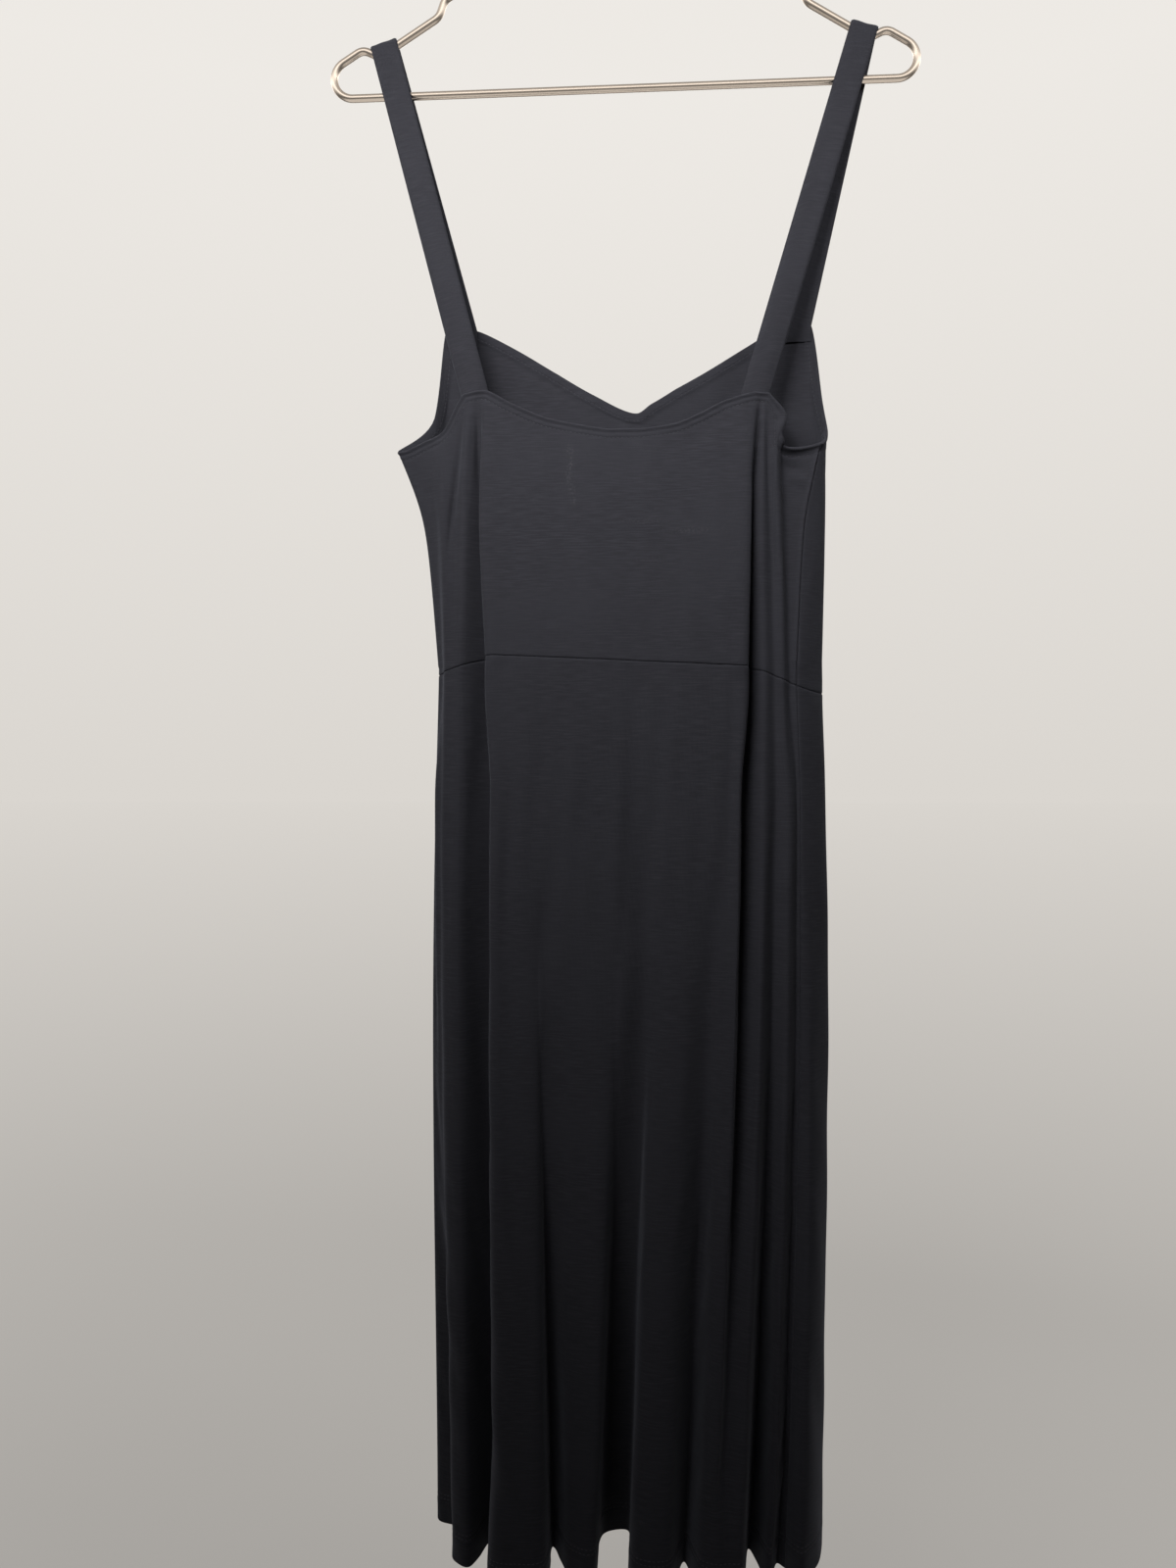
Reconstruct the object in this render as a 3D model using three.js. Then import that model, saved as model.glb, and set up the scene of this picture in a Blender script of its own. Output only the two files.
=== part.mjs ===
// A sleeveless jersey dress hanging by its two straps from a bent wire hanger.
// Millimetres, +Z up. The origin is the inside top of the hook, where a rail carries it.
// The dress's back, with a scooped neckline, faces -Y. Its front, with a V neckline, faces +Y.
import * as THREE from "three";

// Hanger sizes
const WIRE_DIAMETER = 5.5;
const WIRE_SIDES = 8;
const HANGER_WIDTH = 420;
const HANGER_DROP = 215; // from the hook's seat down to the centre of the bar
const HOOK_RADIUS = 20;
const HOOK_TURN = { from: -60, to: 200 }; // degrees round the hook's centre
const END_RADIUS = 14;
const ARM_SLOPE = 32; // degrees above the bar
const HUMP_RUN = 17; // straight wire between the end's curve and the hump
const NOTCH_DIP = { inward: 12.2, down: 5.8 }; // from the hump to the notch's lowest point
const NOTCH_LENGTH = 51;
const NOTCH_STEP = { inward: 4, up: 12 };
const CREST_BEND = 14; // how far each arm's bend at the crest reaches
const WIRE_BENDS = { hump: 5, notchStart: 5, notchEnd: 4, step: 4 }; // the same for the smaller bends
const SPLITS = { bar: 4, notch: 6, arm: 8 }; // straight wire left on a bent piece before the next one
const WIRE_STEPS = { end: 20, notch: 16, crest: 6, hook: 32 };

// Cloth sizes
const CLOTH = 1.4;
const STRAP_CLOTH = 1.8; // two layers
const STRAP_WIDTH = 19.6;
const STRAP_REACH = 169.9; // from the hanger's middle to the middle of a strap
const STRAP_LIFT = 0.25; // where it bridges the notch
const STRAP_OVERLAP = 12; // sewn down inside the bodice
const STRAP_COLUMNS = 4;
const GAP = 0.3; // between pieces that are sewn or rest together
const STRAP_SEAT = 0.65; // the same, where a flat strap lies on a curved panel

// Heights of the dress's levels
const BUST_Z = -515;
const WAIST_Z = -625;
const HEM_Z = -1246;
const WAIST_TILT = -0.05; // the waist seam falls to the right
const WAIST_SAG = { drop: 14, from: 85, to: 140 }; // and drops towards both sides
const HEM_TILT = 0.035; // the hem rises to the right
const BUST_TURN = 25; // how softly the bodice turns at the bust
const FOLD_GROWTH = 1.5; // how late the skirt's folds open on the way down
const LINE_SWAY = 1.3; // how late they move sideways
const HIP_SWELL = 0.03; // how much wider the skirt stands halfway down

// The dress's ring, seen from above, passes through one line of cloth for each row here, from the
// left side seam round the back to the right one and on round the front. Each line has its place
// on the top edge, at the bust, the waist and the hem, and how far down the skirt, as a share of
// its length, its fold starts to open.
const COLUMNS = ["line", "topX", "topY", "topZ", "bustX", "bustY", "waistX", "waistY", "hemX", "hemY",
  "opens"];
const BACK_LINES = [
  ["left seam", -160, 2, -470, -139.5, 4, -131, 3, -135, 20, 0],
  ["left side trough", -142, -3, -465, -131.5, -4, -127, -4, -113, 7, 0.3],
  ["left side ridge", -126, -8, -458, -126, -12.5, -124, -12, -117, -22, 0.3],
  ["left first crease", -113, -13, -437, -119, -10.5, -119.5, -14.5, -112, -29, 0.1],
  ["left ridge", -107, -15, -434, -110, -17.5, -112, -16.5, -104, -32, 0],
  ["left valley", -99, -17.2, -433, -96, -9, -89, -3, -91, 0, 0],
  ["left pleat edge", -94, -17, -433, -99, -23.5, -92, -31, -86, -57, 0],
  ["left pleat face", -78, -18, -442, -80, -25, -76, -33, -68, -62, 0.1],
  ["left pleat end", -57, -20, -452, -58, -26, -58, -34, -50, -59, 0.2],
  ["second trough", -44, -20, -456, -45, -26, -52, -34, -48, -10, 0.3],
  ["second ridge", -26, -21, -460, -27, -27, -26, -35, -33, -40, 0.2],
  ["second ridge edge", -8, -21, -463, -9, -27, 0, -35, -18, -46, 0.2],
  ["middle trough left", 2, -21, -463, 1, -27, 8, -34, -13, 4, 0.3],
  ["middle trough right", 13, -21, -463, 13, -27, 20, -34, 4, 9, 0.3],
  ["middle ridge left", 24, -21, -462, 25, -27, 28, -34, 10, -53, 0.15],
  ["middle ridge right", 40, -20, -459, 42, -26, 46, -35, 32, -57, 0.1],
  ["right trough", 56, -19, -452, 59, -26, 66, -34, 44, -25, 0.3],
  ["right pleat face", 72, -18, -444, 74, -26, 75, -34, 54, -57, 0.2],
  ["right pleat edge", 93, -17, -438, 89.5, -24, 86.5, -33, 66, -61, 0],
  ["right valley", 97, -16, -438, 89, -13, 88, -13, 73, -62, 0.2],
  ["right ridge", 100, -15, -438, 97, -18, 99, -23, 80, -60, 0],
  ["right second valley", 104, -14, -439, 102.5, -15, 106, -19, 89, -11, 0.3],
  ["right second ridge", 115, -13, -454, 110, -17.5, 112, -20, 100, -45, 0],
  ["right third valley", 111, -6, -468, 114, -9, 117, -15, 107, -26, 0],
];
const FRONT_LINES = [
  ["right seam", 140, -2, -475, 127, -5, 122, -16, 112, -31, 0],
  ["right wrap", 145, 3, -461, 141, 2, 131, -11, 122, -45, 0],
  ["right side", 142.5, 8, -436, 145, 9, 141, 2, 140, -8, 0],
  ["right strap outer edge", 135.5, 11, -383, 138, 15, 134, 16, 134, 36, 0],
  ["right front valley", 124, 12, -382, 122, 15, 113, 17, 114, 27, 0],
  ["right strap inner edge", 113, 13, -383, 108, 18, 97, 23, 96, 55, 0],
  ["front trough 1", 86, 14, -398, 82, 19, 76, 22, 80, 27, 0.15],
  ["front ridge 1", 62, 15, -412, 59, 20, 55, 24, 63, 46, 0.3],
  ["front trough 2", 38, 15, -425, 36, 20, 33, 23, 39, 34, 0.35],
  ["front ridge 2", 21, 15, -435, 16, 20, 12, 24, 19, 58, 0.05],
  ["V point", 9, 15, -441.5, 3, 20, -9, 23, -10, 27, 0.2],
  ["front ridge 3", -18, 15, -429, -22, 20, -31, 24, -32, 45, 0.25],
  ["front trough 3", -45, 15, -413, -47, 20, -52, 22, -48, 33, 0.35],
  ["front ridge 4", -75, 14, -395, -75, 19, -74, 24, -71, 59, 0.05],
  ["left strap inner edge", -105, 13, -380, -101, 18, -94, 18, -95, 28, 0],
  ["left front ridge", -117, 12, -380, -113, 15, -107, 20, -110, 44, 0.1],
  ["left strap outer edge", -128, 10, -382, -125, 14, -119, 17, -127, 47, 0],
  ["left armhole", -136, 7, -446, -133, 10, -127, 11, -133.5, 33, 0],
];
const asRow = (values) => Object.fromEntries(COLUMNS.map((column, i) => [column, values[i]]));
const LINES = [...BACK_LINES, ...FRONT_LINES].map(asRow);
const RIGHT_SEAM = BACK_LINES.length;
const LEFT_SEAM = LINES.length;

// Grid sizes of the panels
const STEPS = 3; // columns from one line to the next
const SKIRT_ROWS = 12;
const BODICE_ROWS = 7;

// Straps, each from its outer to its inner edge on the back and on the front
const numberOf = (line) => LINES.findIndex((row) => row.line === line);
const STRAPS = [
  {
    name: "strap_left",
    side: -1,
    back: [numberOf("left first crease"), numberOf("left pleat edge") + 0.1],
    front: [numberOf("left strap outer edge"), numberOf("left strap inner edge")],
  },
  {
    name: "strap_right",
    side: 1,
    back: [numberOf("right second valley"), numberOf("right pleat edge") - 0.52],
    front: [numberOf("right strap outer edge"), numberOf("right strap inner edge")],
  },
];

const WIRE_RADIUS = WIRE_DIAMETER / 2;
const JERSEY = new THREE.MeshStandardMaterial({ color: 0x1b1c20, roughness: 0.85, metalness: 0 });
const METAL = new THREE.MeshStandardMaterial({ color: 0xc9b79c, roughness: 0.25, metalness: 1 });

const lerp = THREE.MathUtils.lerp;
const radians = THREE.MathUtils.degToRad;
const at = (x, z) => new THREE.Vector3(x, 0, z);

// Solids

// A closed wall through a grid of middle points, each moved half the thickness along its normal.
function wall(points, normals, thickness) {
  const rows = points.length;
  const columns = points[0].length;
  const layer = rows * columns;
  const position = [];
  for (const side of [0.5, -0.5]) {
    points.forEach((row, r) =>
      row.forEach((point, c) =>
        position.push(...point.clone().addScaledVector(normals[r][c], side * thickness).toArray()),
      ),
    );
  }
  const index = [];
  const quad = (a, b, c, d) => index.push(a, b, c, a, c, d);
  const corner = (r, c) => r * columns + c;
  for (let r = 0; r < rows - 1; r++) {
    for (let c = 0; c < columns - 1; c++) {
      const face = [corner(r, c), corner(r, c + 1), corner(r + 1, c + 1), corner(r + 1, c)];
      quad(...face);
      quad(...face.map((i) => i + layer).reverse());
    }
  }
  const rim = (a, b) => quad(b, a, a + layer, b + layer);
  for (let c = 0; c < columns - 1; c++) {
    rim(corner(0, c), corner(0, c + 1));
    rim(corner(rows - 1, c + 1), corner(rows - 1, c));
  }
  for (let r = 0; r < rows - 1; r++) {
    rim(corner(r + 1, 0), corner(r, 0));
    rim(corner(r, columns - 1), corner(r + 1, columns - 1));
  }
  const geometry = new THREE.BufferGeometry();
  geometry.setAttribute("position", new THREE.Float32BufferAttribute(position, 3));
  geometry.setIndex(index);
  geometry.computeVertexNormals();
  return geometry;
}

// The normals of a grid, from the grid's own neighbours.
function gridNormals(points) {
  const last = points.length - 1;
  const end = points[0].length - 1;
  return points.map((row, r) =>
    row.map((_, c) => {
      const along = row[Math.min(c + 1, end)].clone().sub(row[Math.max(c - 1, 0)]);
      const onward = points[Math.min(r + 1, last)][c].clone().sub(points[Math.max(r - 1, 0)][c]);
      return along.cross(onward).normalize();
    }),
  );
}

// A round wire along points of its centre line.
function wire(points, steps) {
  const section = new THREE.Shape().absarc(0, 0, WIRE_RADIUS, 0, 2 * Math.PI, false);
  return new THREE.ExtrudeGeometry(section, {
    steps,
    curveSegments: WIRE_SIDES / 2,
    bevelEnabled: false,
    extrudePath: new THREE.CatmullRomCurve3(points, false, "centripetal"),
  });
}

// Dress

// How far a fold has opened at a share of the way down the skirt.
const opened = (share, opens) => Math.max(0, (share - opens) / (1 - opens)) ** FOLD_GROWTH;

// A place on the bodice at a height above the bust, turning softly there from one slope to another.
function softTurn(waist, bust, top, topZ, above) {
  const lower = (bust - waist) / (BUST_Z - WAIST_Z);
  const upper = (top - bust) / (topZ - BUST_Z);
  const past = (above + Math.hypot(above, BUST_TURN)) / 2;
  return bust + lower * above + (upper - lower) * past;
}

// Where one line of cloth is at a height.
function linePoint(line, z) {
  if (z < WAIST_Z) {
    const share = (WAIST_Z - z) / (WAIST_Z - HEM_Z);
    const hip = 1 + HIP_SWELL * Math.sin(Math.PI * Math.min(share, 1) ** 0.8) ** 1.5;
    const x = hip * lerp(line.waistX, line.hemX, share ** LINE_SWAY);
    return new THREE.Vector3(x, lerp(line.waistY, line.hemY, opened(share, line.opens)), z);
  }
  const above = Math.min(z, line.topZ) - BUST_Z;
  const x = softTurn(line.waistX, line.bustX, line.topX, line.topZ, above);
  return new THREE.Vector3(x, softTurn(line.waistY, line.bustY, line.topY, line.topZ, above), z);
}

// The four lines round a place u on the ring, counted in lines from the left seam.
function linesAround(u) {
  const count = LINES.length;
  const first = Math.floor(u);
  return [-1, 0, 1, 2].map((step) => LINES[(first + step + count) % count]);
}

// The place u of the ring at a height, on a smooth curve through the lines.
function ringPoint(u, z) {
  const points = linesAround(u).map((line) => linePoint(line, z));
  const share = u - Math.floor(u);
  return new THREE.CatmullRomCurve3(points, false, "centripetal").getPoint((1 + share) / 3);
}

// The way along the ring and the way out of the dress at a place of it.
function ringWays(u, z) {
  const along = ringPoint(u + 0.01, z).sub(ringPoint(u - 0.01, z)).normalize();
  const up = ringPoint(u, z + 0.5).sub(ringPoint(u, z - 0.5));
  return { along, out: along.clone().cross(up).normalize() };
}

function waistHeight(x) {
  const share = THREE.MathUtils.smoothstep(Math.abs(x), WAIST_SAG.from, WAIST_SAG.to);
  return WAIST_Z + WAIST_TILT * x - WAIST_SAG.drop * share;
}

const hemHeight = (x) => HEM_Z + HEM_TILT * x;

// The top edge of the bodice, smooth between the lines and never past either of them.
function topHeight(u) {
  const heights = linesAround(u).map((line) => line.topZ);
  const curve = new THREE.SplineCurve(heights.map((z, i) => new THREE.Vector2(i, z)));
  const z = curve.getPoint((1 + u - Math.floor(u)) / 3).y;
  return THREE.MathUtils.clamp(z, Math.min(heights[1], heights[2]), Math.max(heights[1], heights[2]));
}

// A panel's wall from one side seam to the other, half a gap short of both, between its lower and
// upper edge, given as heights for a place of the ring.
function panel(from, to, rows, lower, upper) {
  const count = (to - from) * STEPS;
  const points = [];
  const normals = [];
  for (let r = 0; r <= rows; r++) {
    points.push([]);
    normals.push([]);
    for (let c = 0; c <= count; c++) {
      const u = from + c / STEPS;
      const z = lerp(lower(u), upper(u), r / rows);
      const { along, out } = ringWays(u, z);
      const trim = c === 0 ? GAP / 2 : c === count ? -GAP / 2 : 0;
      points[r].push(ringPoint(u, z).addScaledVector(along, trim));
      normals[r].push(out);
    }
  }
  return wall(points, normals, CLOTH);
}

const waistAt = (u) => waistHeight(ringPoint(u, WAIST_Z).x);
const hemAt = (u) => hemHeight(ringPoint(u, HEM_Z).x);

function skirt(from, to) {
  return panel(from, to, SKIRT_ROWS, hemAt, (u) => waistAt(u) - GAP / 2);
}

function bodice(from, to) {
  return panel(from, to, BODICE_ROWS, (u) => waistAt(u) + GAP / 2, topHeight);
}

// Hanger

const ARM = new THREE.Vector2(-Math.cos(radians(ARM_SLOPE)), Math.sin(radians(ARM_SLOPE)));
const END_X = HANGER_WIDTH / 2 - WIRE_RADIUS - END_RADIUS;

// The corners of the right half's centre line, above the bar.
function armCorners() {
  const turn = radians(90 - ARM_SLOPE);
  const curveEnd = new THREE.Vector2(Math.cos(turn), Math.sin(turn) + 1).multiplyScalar(END_RADIUS);
  curveEnd.x += END_X;
  const hump = curveEnd.clone().addScaledVector(ARM, HUMP_RUN);
  const notchStart = hump.clone().sub(new THREE.Vector2(NOTCH_DIP.inward, NOTCH_DIP.down));
  const notchEnd = notchStart.clone().addScaledVector(ARM, NOTCH_LENGTH);
  const step = notchEnd.clone().add(new THREE.Vector2(-NOTCH_STEP.inward, NOTCH_STEP.up));
  const crest = step.clone().addScaledVector(ARM, -step.x / ARM.x);
  return { curveEnd, hump, notchStart, notchEnd, step, crest };
}

const CORNERS = armCorners();
const onBar = (point) => at(point.x, point.y - HANGER_DROP);

// A strap lies across the notch's dip, on the wire at both of its edges.
const atReach = (from, to, reach) => onBar(from.clone().lerp(to, (from.x - reach) / (from.x - to.x)));
const SEAT_OUTER = atReach(CORNERS.hump, CORNERS.notchStart, STRAP_REACH + STRAP_WIDTH / 2);
const SEAT_INNER = atReach(CORNERS.notchStart, CORNERS.notchEnd, STRAP_REACH - STRAP_WIDTH / 2);
const SEAT_WAY = SEAT_INNER.clone().sub(SEAT_OUTER).normalize();
const SEAT_CENTRE = SEAT_INNER.clone().lerp(SEAT_OUTER, 0.5).setZ(
  (SEAT_INNER.z + SEAT_OUTER.z) / 2 + STRAP_LIFT,
);

// Points round a corner, from a point before it to one after it.
function bend(corner, before, after, reach) {
  const from = corner.clone().addScaledVector(before.clone().sub(corner).normalize(), reach);
  const to = corner.clone().addScaledVector(after.clone().sub(corner).normalize(), reach);
  return new THREE.QuadraticBezierCurve(from, corner, to).getPoints(4);
}

const mirrored = (points, side) => points.map((p) => new THREE.Vector3(p.x * side, p.y, p.z));
const shortened = (from, to) => {
  const trim = to.clone().sub(from).normalize().multiplyScalar(GAP / 2);
  return [from.clone().add(trim), to.clone().sub(trim)];
};

// The wire's pieces on one side: the curved end, the notch that holds a strap, and the straight arm.
function hangerSide(side) {
  const { curveEnd, hump, notchStart, notchEnd, step, crest } = CORNERS;
  const barEnd = new THREE.Vector2(END_X - SPLITS.bar, 0);
  const round = new THREE.EllipseCurve(END_X, END_RADIUS, END_RADIUS, END_RADIUS, -Math.PI / 2,
    radians(90 - ARM_SLOPE), false);
  const notchSplit = notchStart.clone().addScaledVector(ARM, SPLITS.notch);
  const armStart = step.clone().addScaledVector(ARM, SPLITS.arm);
  const armEnd = crest.clone().addScaledVector(ARM, -CREST_BEND);
  const endLine = [
    barEnd,
    ...round.getPoints(12),
    ...bend(hump, curveEnd, notchStart, WIRE_BENDS.hump),
    ...bend(notchStart, hump, notchEnd, WIRE_BENDS.notchStart),
    notchSplit,
  ];
  const notchLine = [
    shortened(notchSplit, notchEnd)[0],
    ...bend(notchEnd, notchStart, step, WIRE_BENDS.notchEnd),
    ...bend(step, notchEnd, crest, WIRE_BENDS.step),
    armStart,
  ];
  const armLine = shortened(armStart, armEnd);
  const onSide = (line) => mirrored(line.map(onBar), side);
  return { end: onSide(endLine), notch: onSide(notchLine), arm: onSide(armLine) };
}

function crestLine() {
  const { crest, step } = CORNERS;
  const other = new THREE.Vector2(-step.x, step.y);
  return bend(crest, step, other, CREST_BEND - GAP / 2).map(onBar);
}

// The hook: a shank up from the crest, a bend to the right and a turn round the rail.
function hookLine(foot) {
  const centre = WIRE_RADIUS - HOOK_RADIUS;
  const [from, to] = [radians(HOOK_TURN.from), radians(HOOK_TURN.to)];
  const turn = new THREE.EllipseCurve(0, centre, HOOK_RADIUS, HOOK_RADIUS, from, to, false);
  const start = turn.getPoint(0);
  const heading = new THREE.Vector2(-Math.sin(from), Math.cos(from));
  const corner = start.clone().addScaledVector(heading, -start.x / heading.x);
  const shankEnd = corner.clone().setY(corner.y - start.distanceTo(corner));
  const swing = new THREE.QuadraticBezierCurve(shankEnd, corner, start).getPoints(4);
  const line = [new THREE.Vector2(0, foot), ...swing.slice(0, -1), ...turn.getPoints(24)];
  return line.map((point) => at(point.x, point.y));
}

// Straps

// Middle points of a strap's sewn end, on the inside of its panel.
function sewnEnd([from, to], drop) {
  const inward = -(CLOTH / 2 + STRAP_SEAT + STRAP_CLOTH / 2);
  return Array.from({ length: STRAP_COLUMNS + 1 }, (_, c) => {
    const u = lerp(from, to, c / STRAP_COLUMNS);
    const z = topHeight(u) - drop;
    return ringPoint(u, z).addScaledVector(ringWays(u, z).out, inward);
  });
}

// One row of a strap's turn over the wire, from the back at 0 degrees to the front at 180.
function wrapRow(side, degrees) {
  const along = new THREE.Vector3(SEAT_WAY.x * side, 0, SEAT_WAY.z);
  const over = new THREE.Vector3(SEAT_WAY.z * side, 0, -SEAT_WAY.x);
  const radius = WIRE_RADIUS + GAP + STRAP_CLOTH / 2;
  const turn = radians(degrees);
  return Array.from({ length: STRAP_COLUMNS + 1 }, (_, c) =>
    mirrored([SEAT_CENTRE], side)[0]
      .addScaledVector(along, STRAP_WIDTH * (c / STRAP_COLUMNS - 0.5))
      .addScaledVector(over, radius * Math.sin(turn))
      .add(new THREE.Vector3(0, -radius * Math.cos(turn), 0)),
  );
}

const between = (a, b, shares) =>
  shares.map((share) => a.map((point, c) => point.clone().lerp(b[c], share)));

function strap({ side, back, front }) {
  const backTop = sewnEnd(back, 1);
  const frontTop = sewnEnd(front, 1);
  const turns = [0, 30, 60, 90, 120, 150, 180].map((degrees) => wrapRow(side, degrees));
  const points = [
    sewnEnd(back, STRAP_OVERLAP),
    backTop,
    ...between(backTop, turns[0], [0.25, 0.5, 0.75, 0.93]),
    ...turns,
    ...between(turns[6], frontTop, [0.07, 0.25, 0.5, 0.75]),
    frontTop,
    sewnEnd(front, STRAP_OVERLAP),
  ];
  return wall(points, gridNormals(points), STRAP_CLOTH);
}

// The whole part

const dress = new THREE.Group();

function add(name, geometry, material) {
  const mesh = new THREE.Mesh(geometry, material);
  mesh.name = name;
  dress.add(mesh);
}

add("bodice_back", bodice(0, RIGHT_SEAM), JERSEY);
add("bodice_front", bodice(RIGHT_SEAM, LEFT_SEAM), JERSEY);
add("skirt_back", skirt(0, RIGHT_SEAM), JERSEY);
add("skirt_front", skirt(RIGHT_SEAM, LEFT_SEAM), JERSEY);
for (const row of STRAPS) {
  add(row.name, strap(row), JERSEY);
}

const BAR_HALF = END_X - SPLITS.bar - GAP;
add("hanger_bar", wire([at(-BAR_HALF, -HANGER_DROP), at(BAR_HALF, -HANGER_DROP)], 1), METAL);
for (const [name, side] of [["left", -1], ["right", 1]]) {
  const { end, notch, arm } = hangerSide(side);
  add(`hanger_end_${name}`, wire(end, WIRE_STEPS.end), METAL);
  add(`hanger_notch_${name}`, wire(notch, WIRE_STEPS.notch), METAL);
  add(`hanger_arm_${name}`, wire(arm, 1), METAL);
}
const crestPoints = crestLine();
const crestTop = crestPoints[Math.floor(crestPoints.length / 2)].z + WIRE_RADIUS;
add("hanger_crest", wire(crestPoints, WIRE_STEPS.crest), METAL);
add("hanger_hook", wire(hookLine(crestTop + GAP), WIRE_STEPS.hook), METAL);

export default dress;
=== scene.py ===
"""A sleeveless jersey dress that hangs by its straps from a bent wire hanger.

The cloth panels, straps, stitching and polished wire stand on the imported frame, in metres. The
tables are in millimetres, in the same frame: the origin is the inside top of the hook, +Z is up,
and the back of the dress faces -Y.
"""
import math

import bpy
import numpy as np
from bpy.props import FloatProperty, FloatVectorProperty, PointerProperty
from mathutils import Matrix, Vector


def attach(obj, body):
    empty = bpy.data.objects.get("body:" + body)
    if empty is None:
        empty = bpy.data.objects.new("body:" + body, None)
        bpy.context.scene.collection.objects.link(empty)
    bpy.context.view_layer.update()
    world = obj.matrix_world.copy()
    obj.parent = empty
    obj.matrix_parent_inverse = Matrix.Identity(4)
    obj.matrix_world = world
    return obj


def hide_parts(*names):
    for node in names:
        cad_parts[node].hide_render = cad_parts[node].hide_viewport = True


bl_info = {
    "name": "Jersey dress on a wire hanger",
    "version": (1, 0, 0),
    "blender": (4, 5, 0),
    "location": "3D View > Sidebar > Dress",
    "description": "Makes the cloth, stitching, hanger and stage of a hanging jersey dress",
    "category": "Object",
}

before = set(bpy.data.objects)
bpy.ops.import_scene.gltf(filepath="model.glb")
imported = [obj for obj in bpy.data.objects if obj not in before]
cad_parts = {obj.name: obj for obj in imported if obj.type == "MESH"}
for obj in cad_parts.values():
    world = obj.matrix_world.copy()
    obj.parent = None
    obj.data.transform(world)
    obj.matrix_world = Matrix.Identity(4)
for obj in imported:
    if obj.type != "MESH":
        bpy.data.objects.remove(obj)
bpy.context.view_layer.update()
MM = 0.001

# Levels of the dress
BUST_Z = -515
WAIST_Z = -625
HEM_Z = -1246
WAIST_TILT = -0.05
WAIST_SAG_DROP = 14
WAIST_SAG_FROM = 85
WAIST_SAG_TO = 140
HEM_TILT = 0.035
BUST_TURN = 25
FOLD_GROWTH = 1.5
LINE_SWAY = 1.3
HIP_SWELL = 0.03

# The ring of the dress passes through one line of cloth for each row, from the left side seam round
# the back to the right one and on round the front. A line has its place on the top edge, at the
# bust, the waist and the hem, and the share of the skirt above which its fold stays shut.
LINE_COLUMNS = (
    "top_x", "top_y", "top_z", "bust_x", "bust_y", "waist_x", "waist_y", "hem_x", "hem_y", "opens",
)
BACK_LINES = (
    ("left seam", -160, 2, -470, -139.5, 4, -131, 3, -135, 20, 0),
    ("left side trough", -142, -3, -465, -131.5, -4, -127, -4, -113, 7, 0.3),
    ("left side ridge", -126, -8, -458, -126, -12.5, -124, -12, -117, -22, 0.3),
    ("left first crease", -113, -13, -437, -119, -10.5, -119.5, -14.5, -112, -29, 0.1),
    ("left ridge", -107, -15, -434, -110, -17.5, -112, -16.5, -104, -32, 0),
    ("left valley", -99, -17.2, -433, -96, -9, -89, -3, -91, 0, 0),
    ("left pleat edge", -94, -17, -433, -99, -23.5, -92, -31, -86, -57, 0),
    ("left pleat face", -78, -18, -442, -80, -25, -76, -33, -68, -62, 0.1),
    ("left pleat end", -57, -20, -452, -58, -26, -58, -34, -50, -59, 0.2),
    ("second trough", -44, -20, -456, -45, -26, -52, -34, -48, -10, 0.3),
    ("second ridge", -26, -21, -460, -27, -27, -26, -35, -33, -40, 0.2),
    ("second ridge edge", -8, -21, -463, -9, -27, 0, -35, -18, -46, 0.2),
    ("middle trough left", 2, -21, -463, 1, -27, 8, -34, -13, 4, 0.3),
    ("middle trough right", 13, -21, -463, 13, -27, 20, -34, 4, 9, 0.3),
    ("middle ridge left", 24, -21, -462, 25, -27, 28, -34, 10, -53, 0.15),
    ("middle ridge right", 40, -20, -459, 42, -26, 46, -35, 32, -57, 0.1),
    ("right trough", 56, -19, -452, 59, -26, 66, -34, 44, -25, 0.3),
    ("right pleat face", 72, -18, -444, 74, -26, 75, -34, 54, -57, 0.2),
    ("right pleat edge", 93, -17, -438, 89.5, -24, 86.5, -33, 66, -61, 0),
    ("right valley", 97, -16, -438, 89, -13, 88, -13, 73, -62, 0.2),
    ("right ridge", 100, -15, -438, 97, -18, 99, -23, 80, -60, 0),
    ("right second valley", 104, -14, -439, 102.5, -15, 106, -19, 89, -11, 0.3),
    ("right second ridge", 115, -13, -454, 110, -17.5, 112, -20, 100, -45, 0),
    ("right third valley", 111, -6, -468, 114, -9, 117, -15, 107, -26, 0),
)
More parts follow.
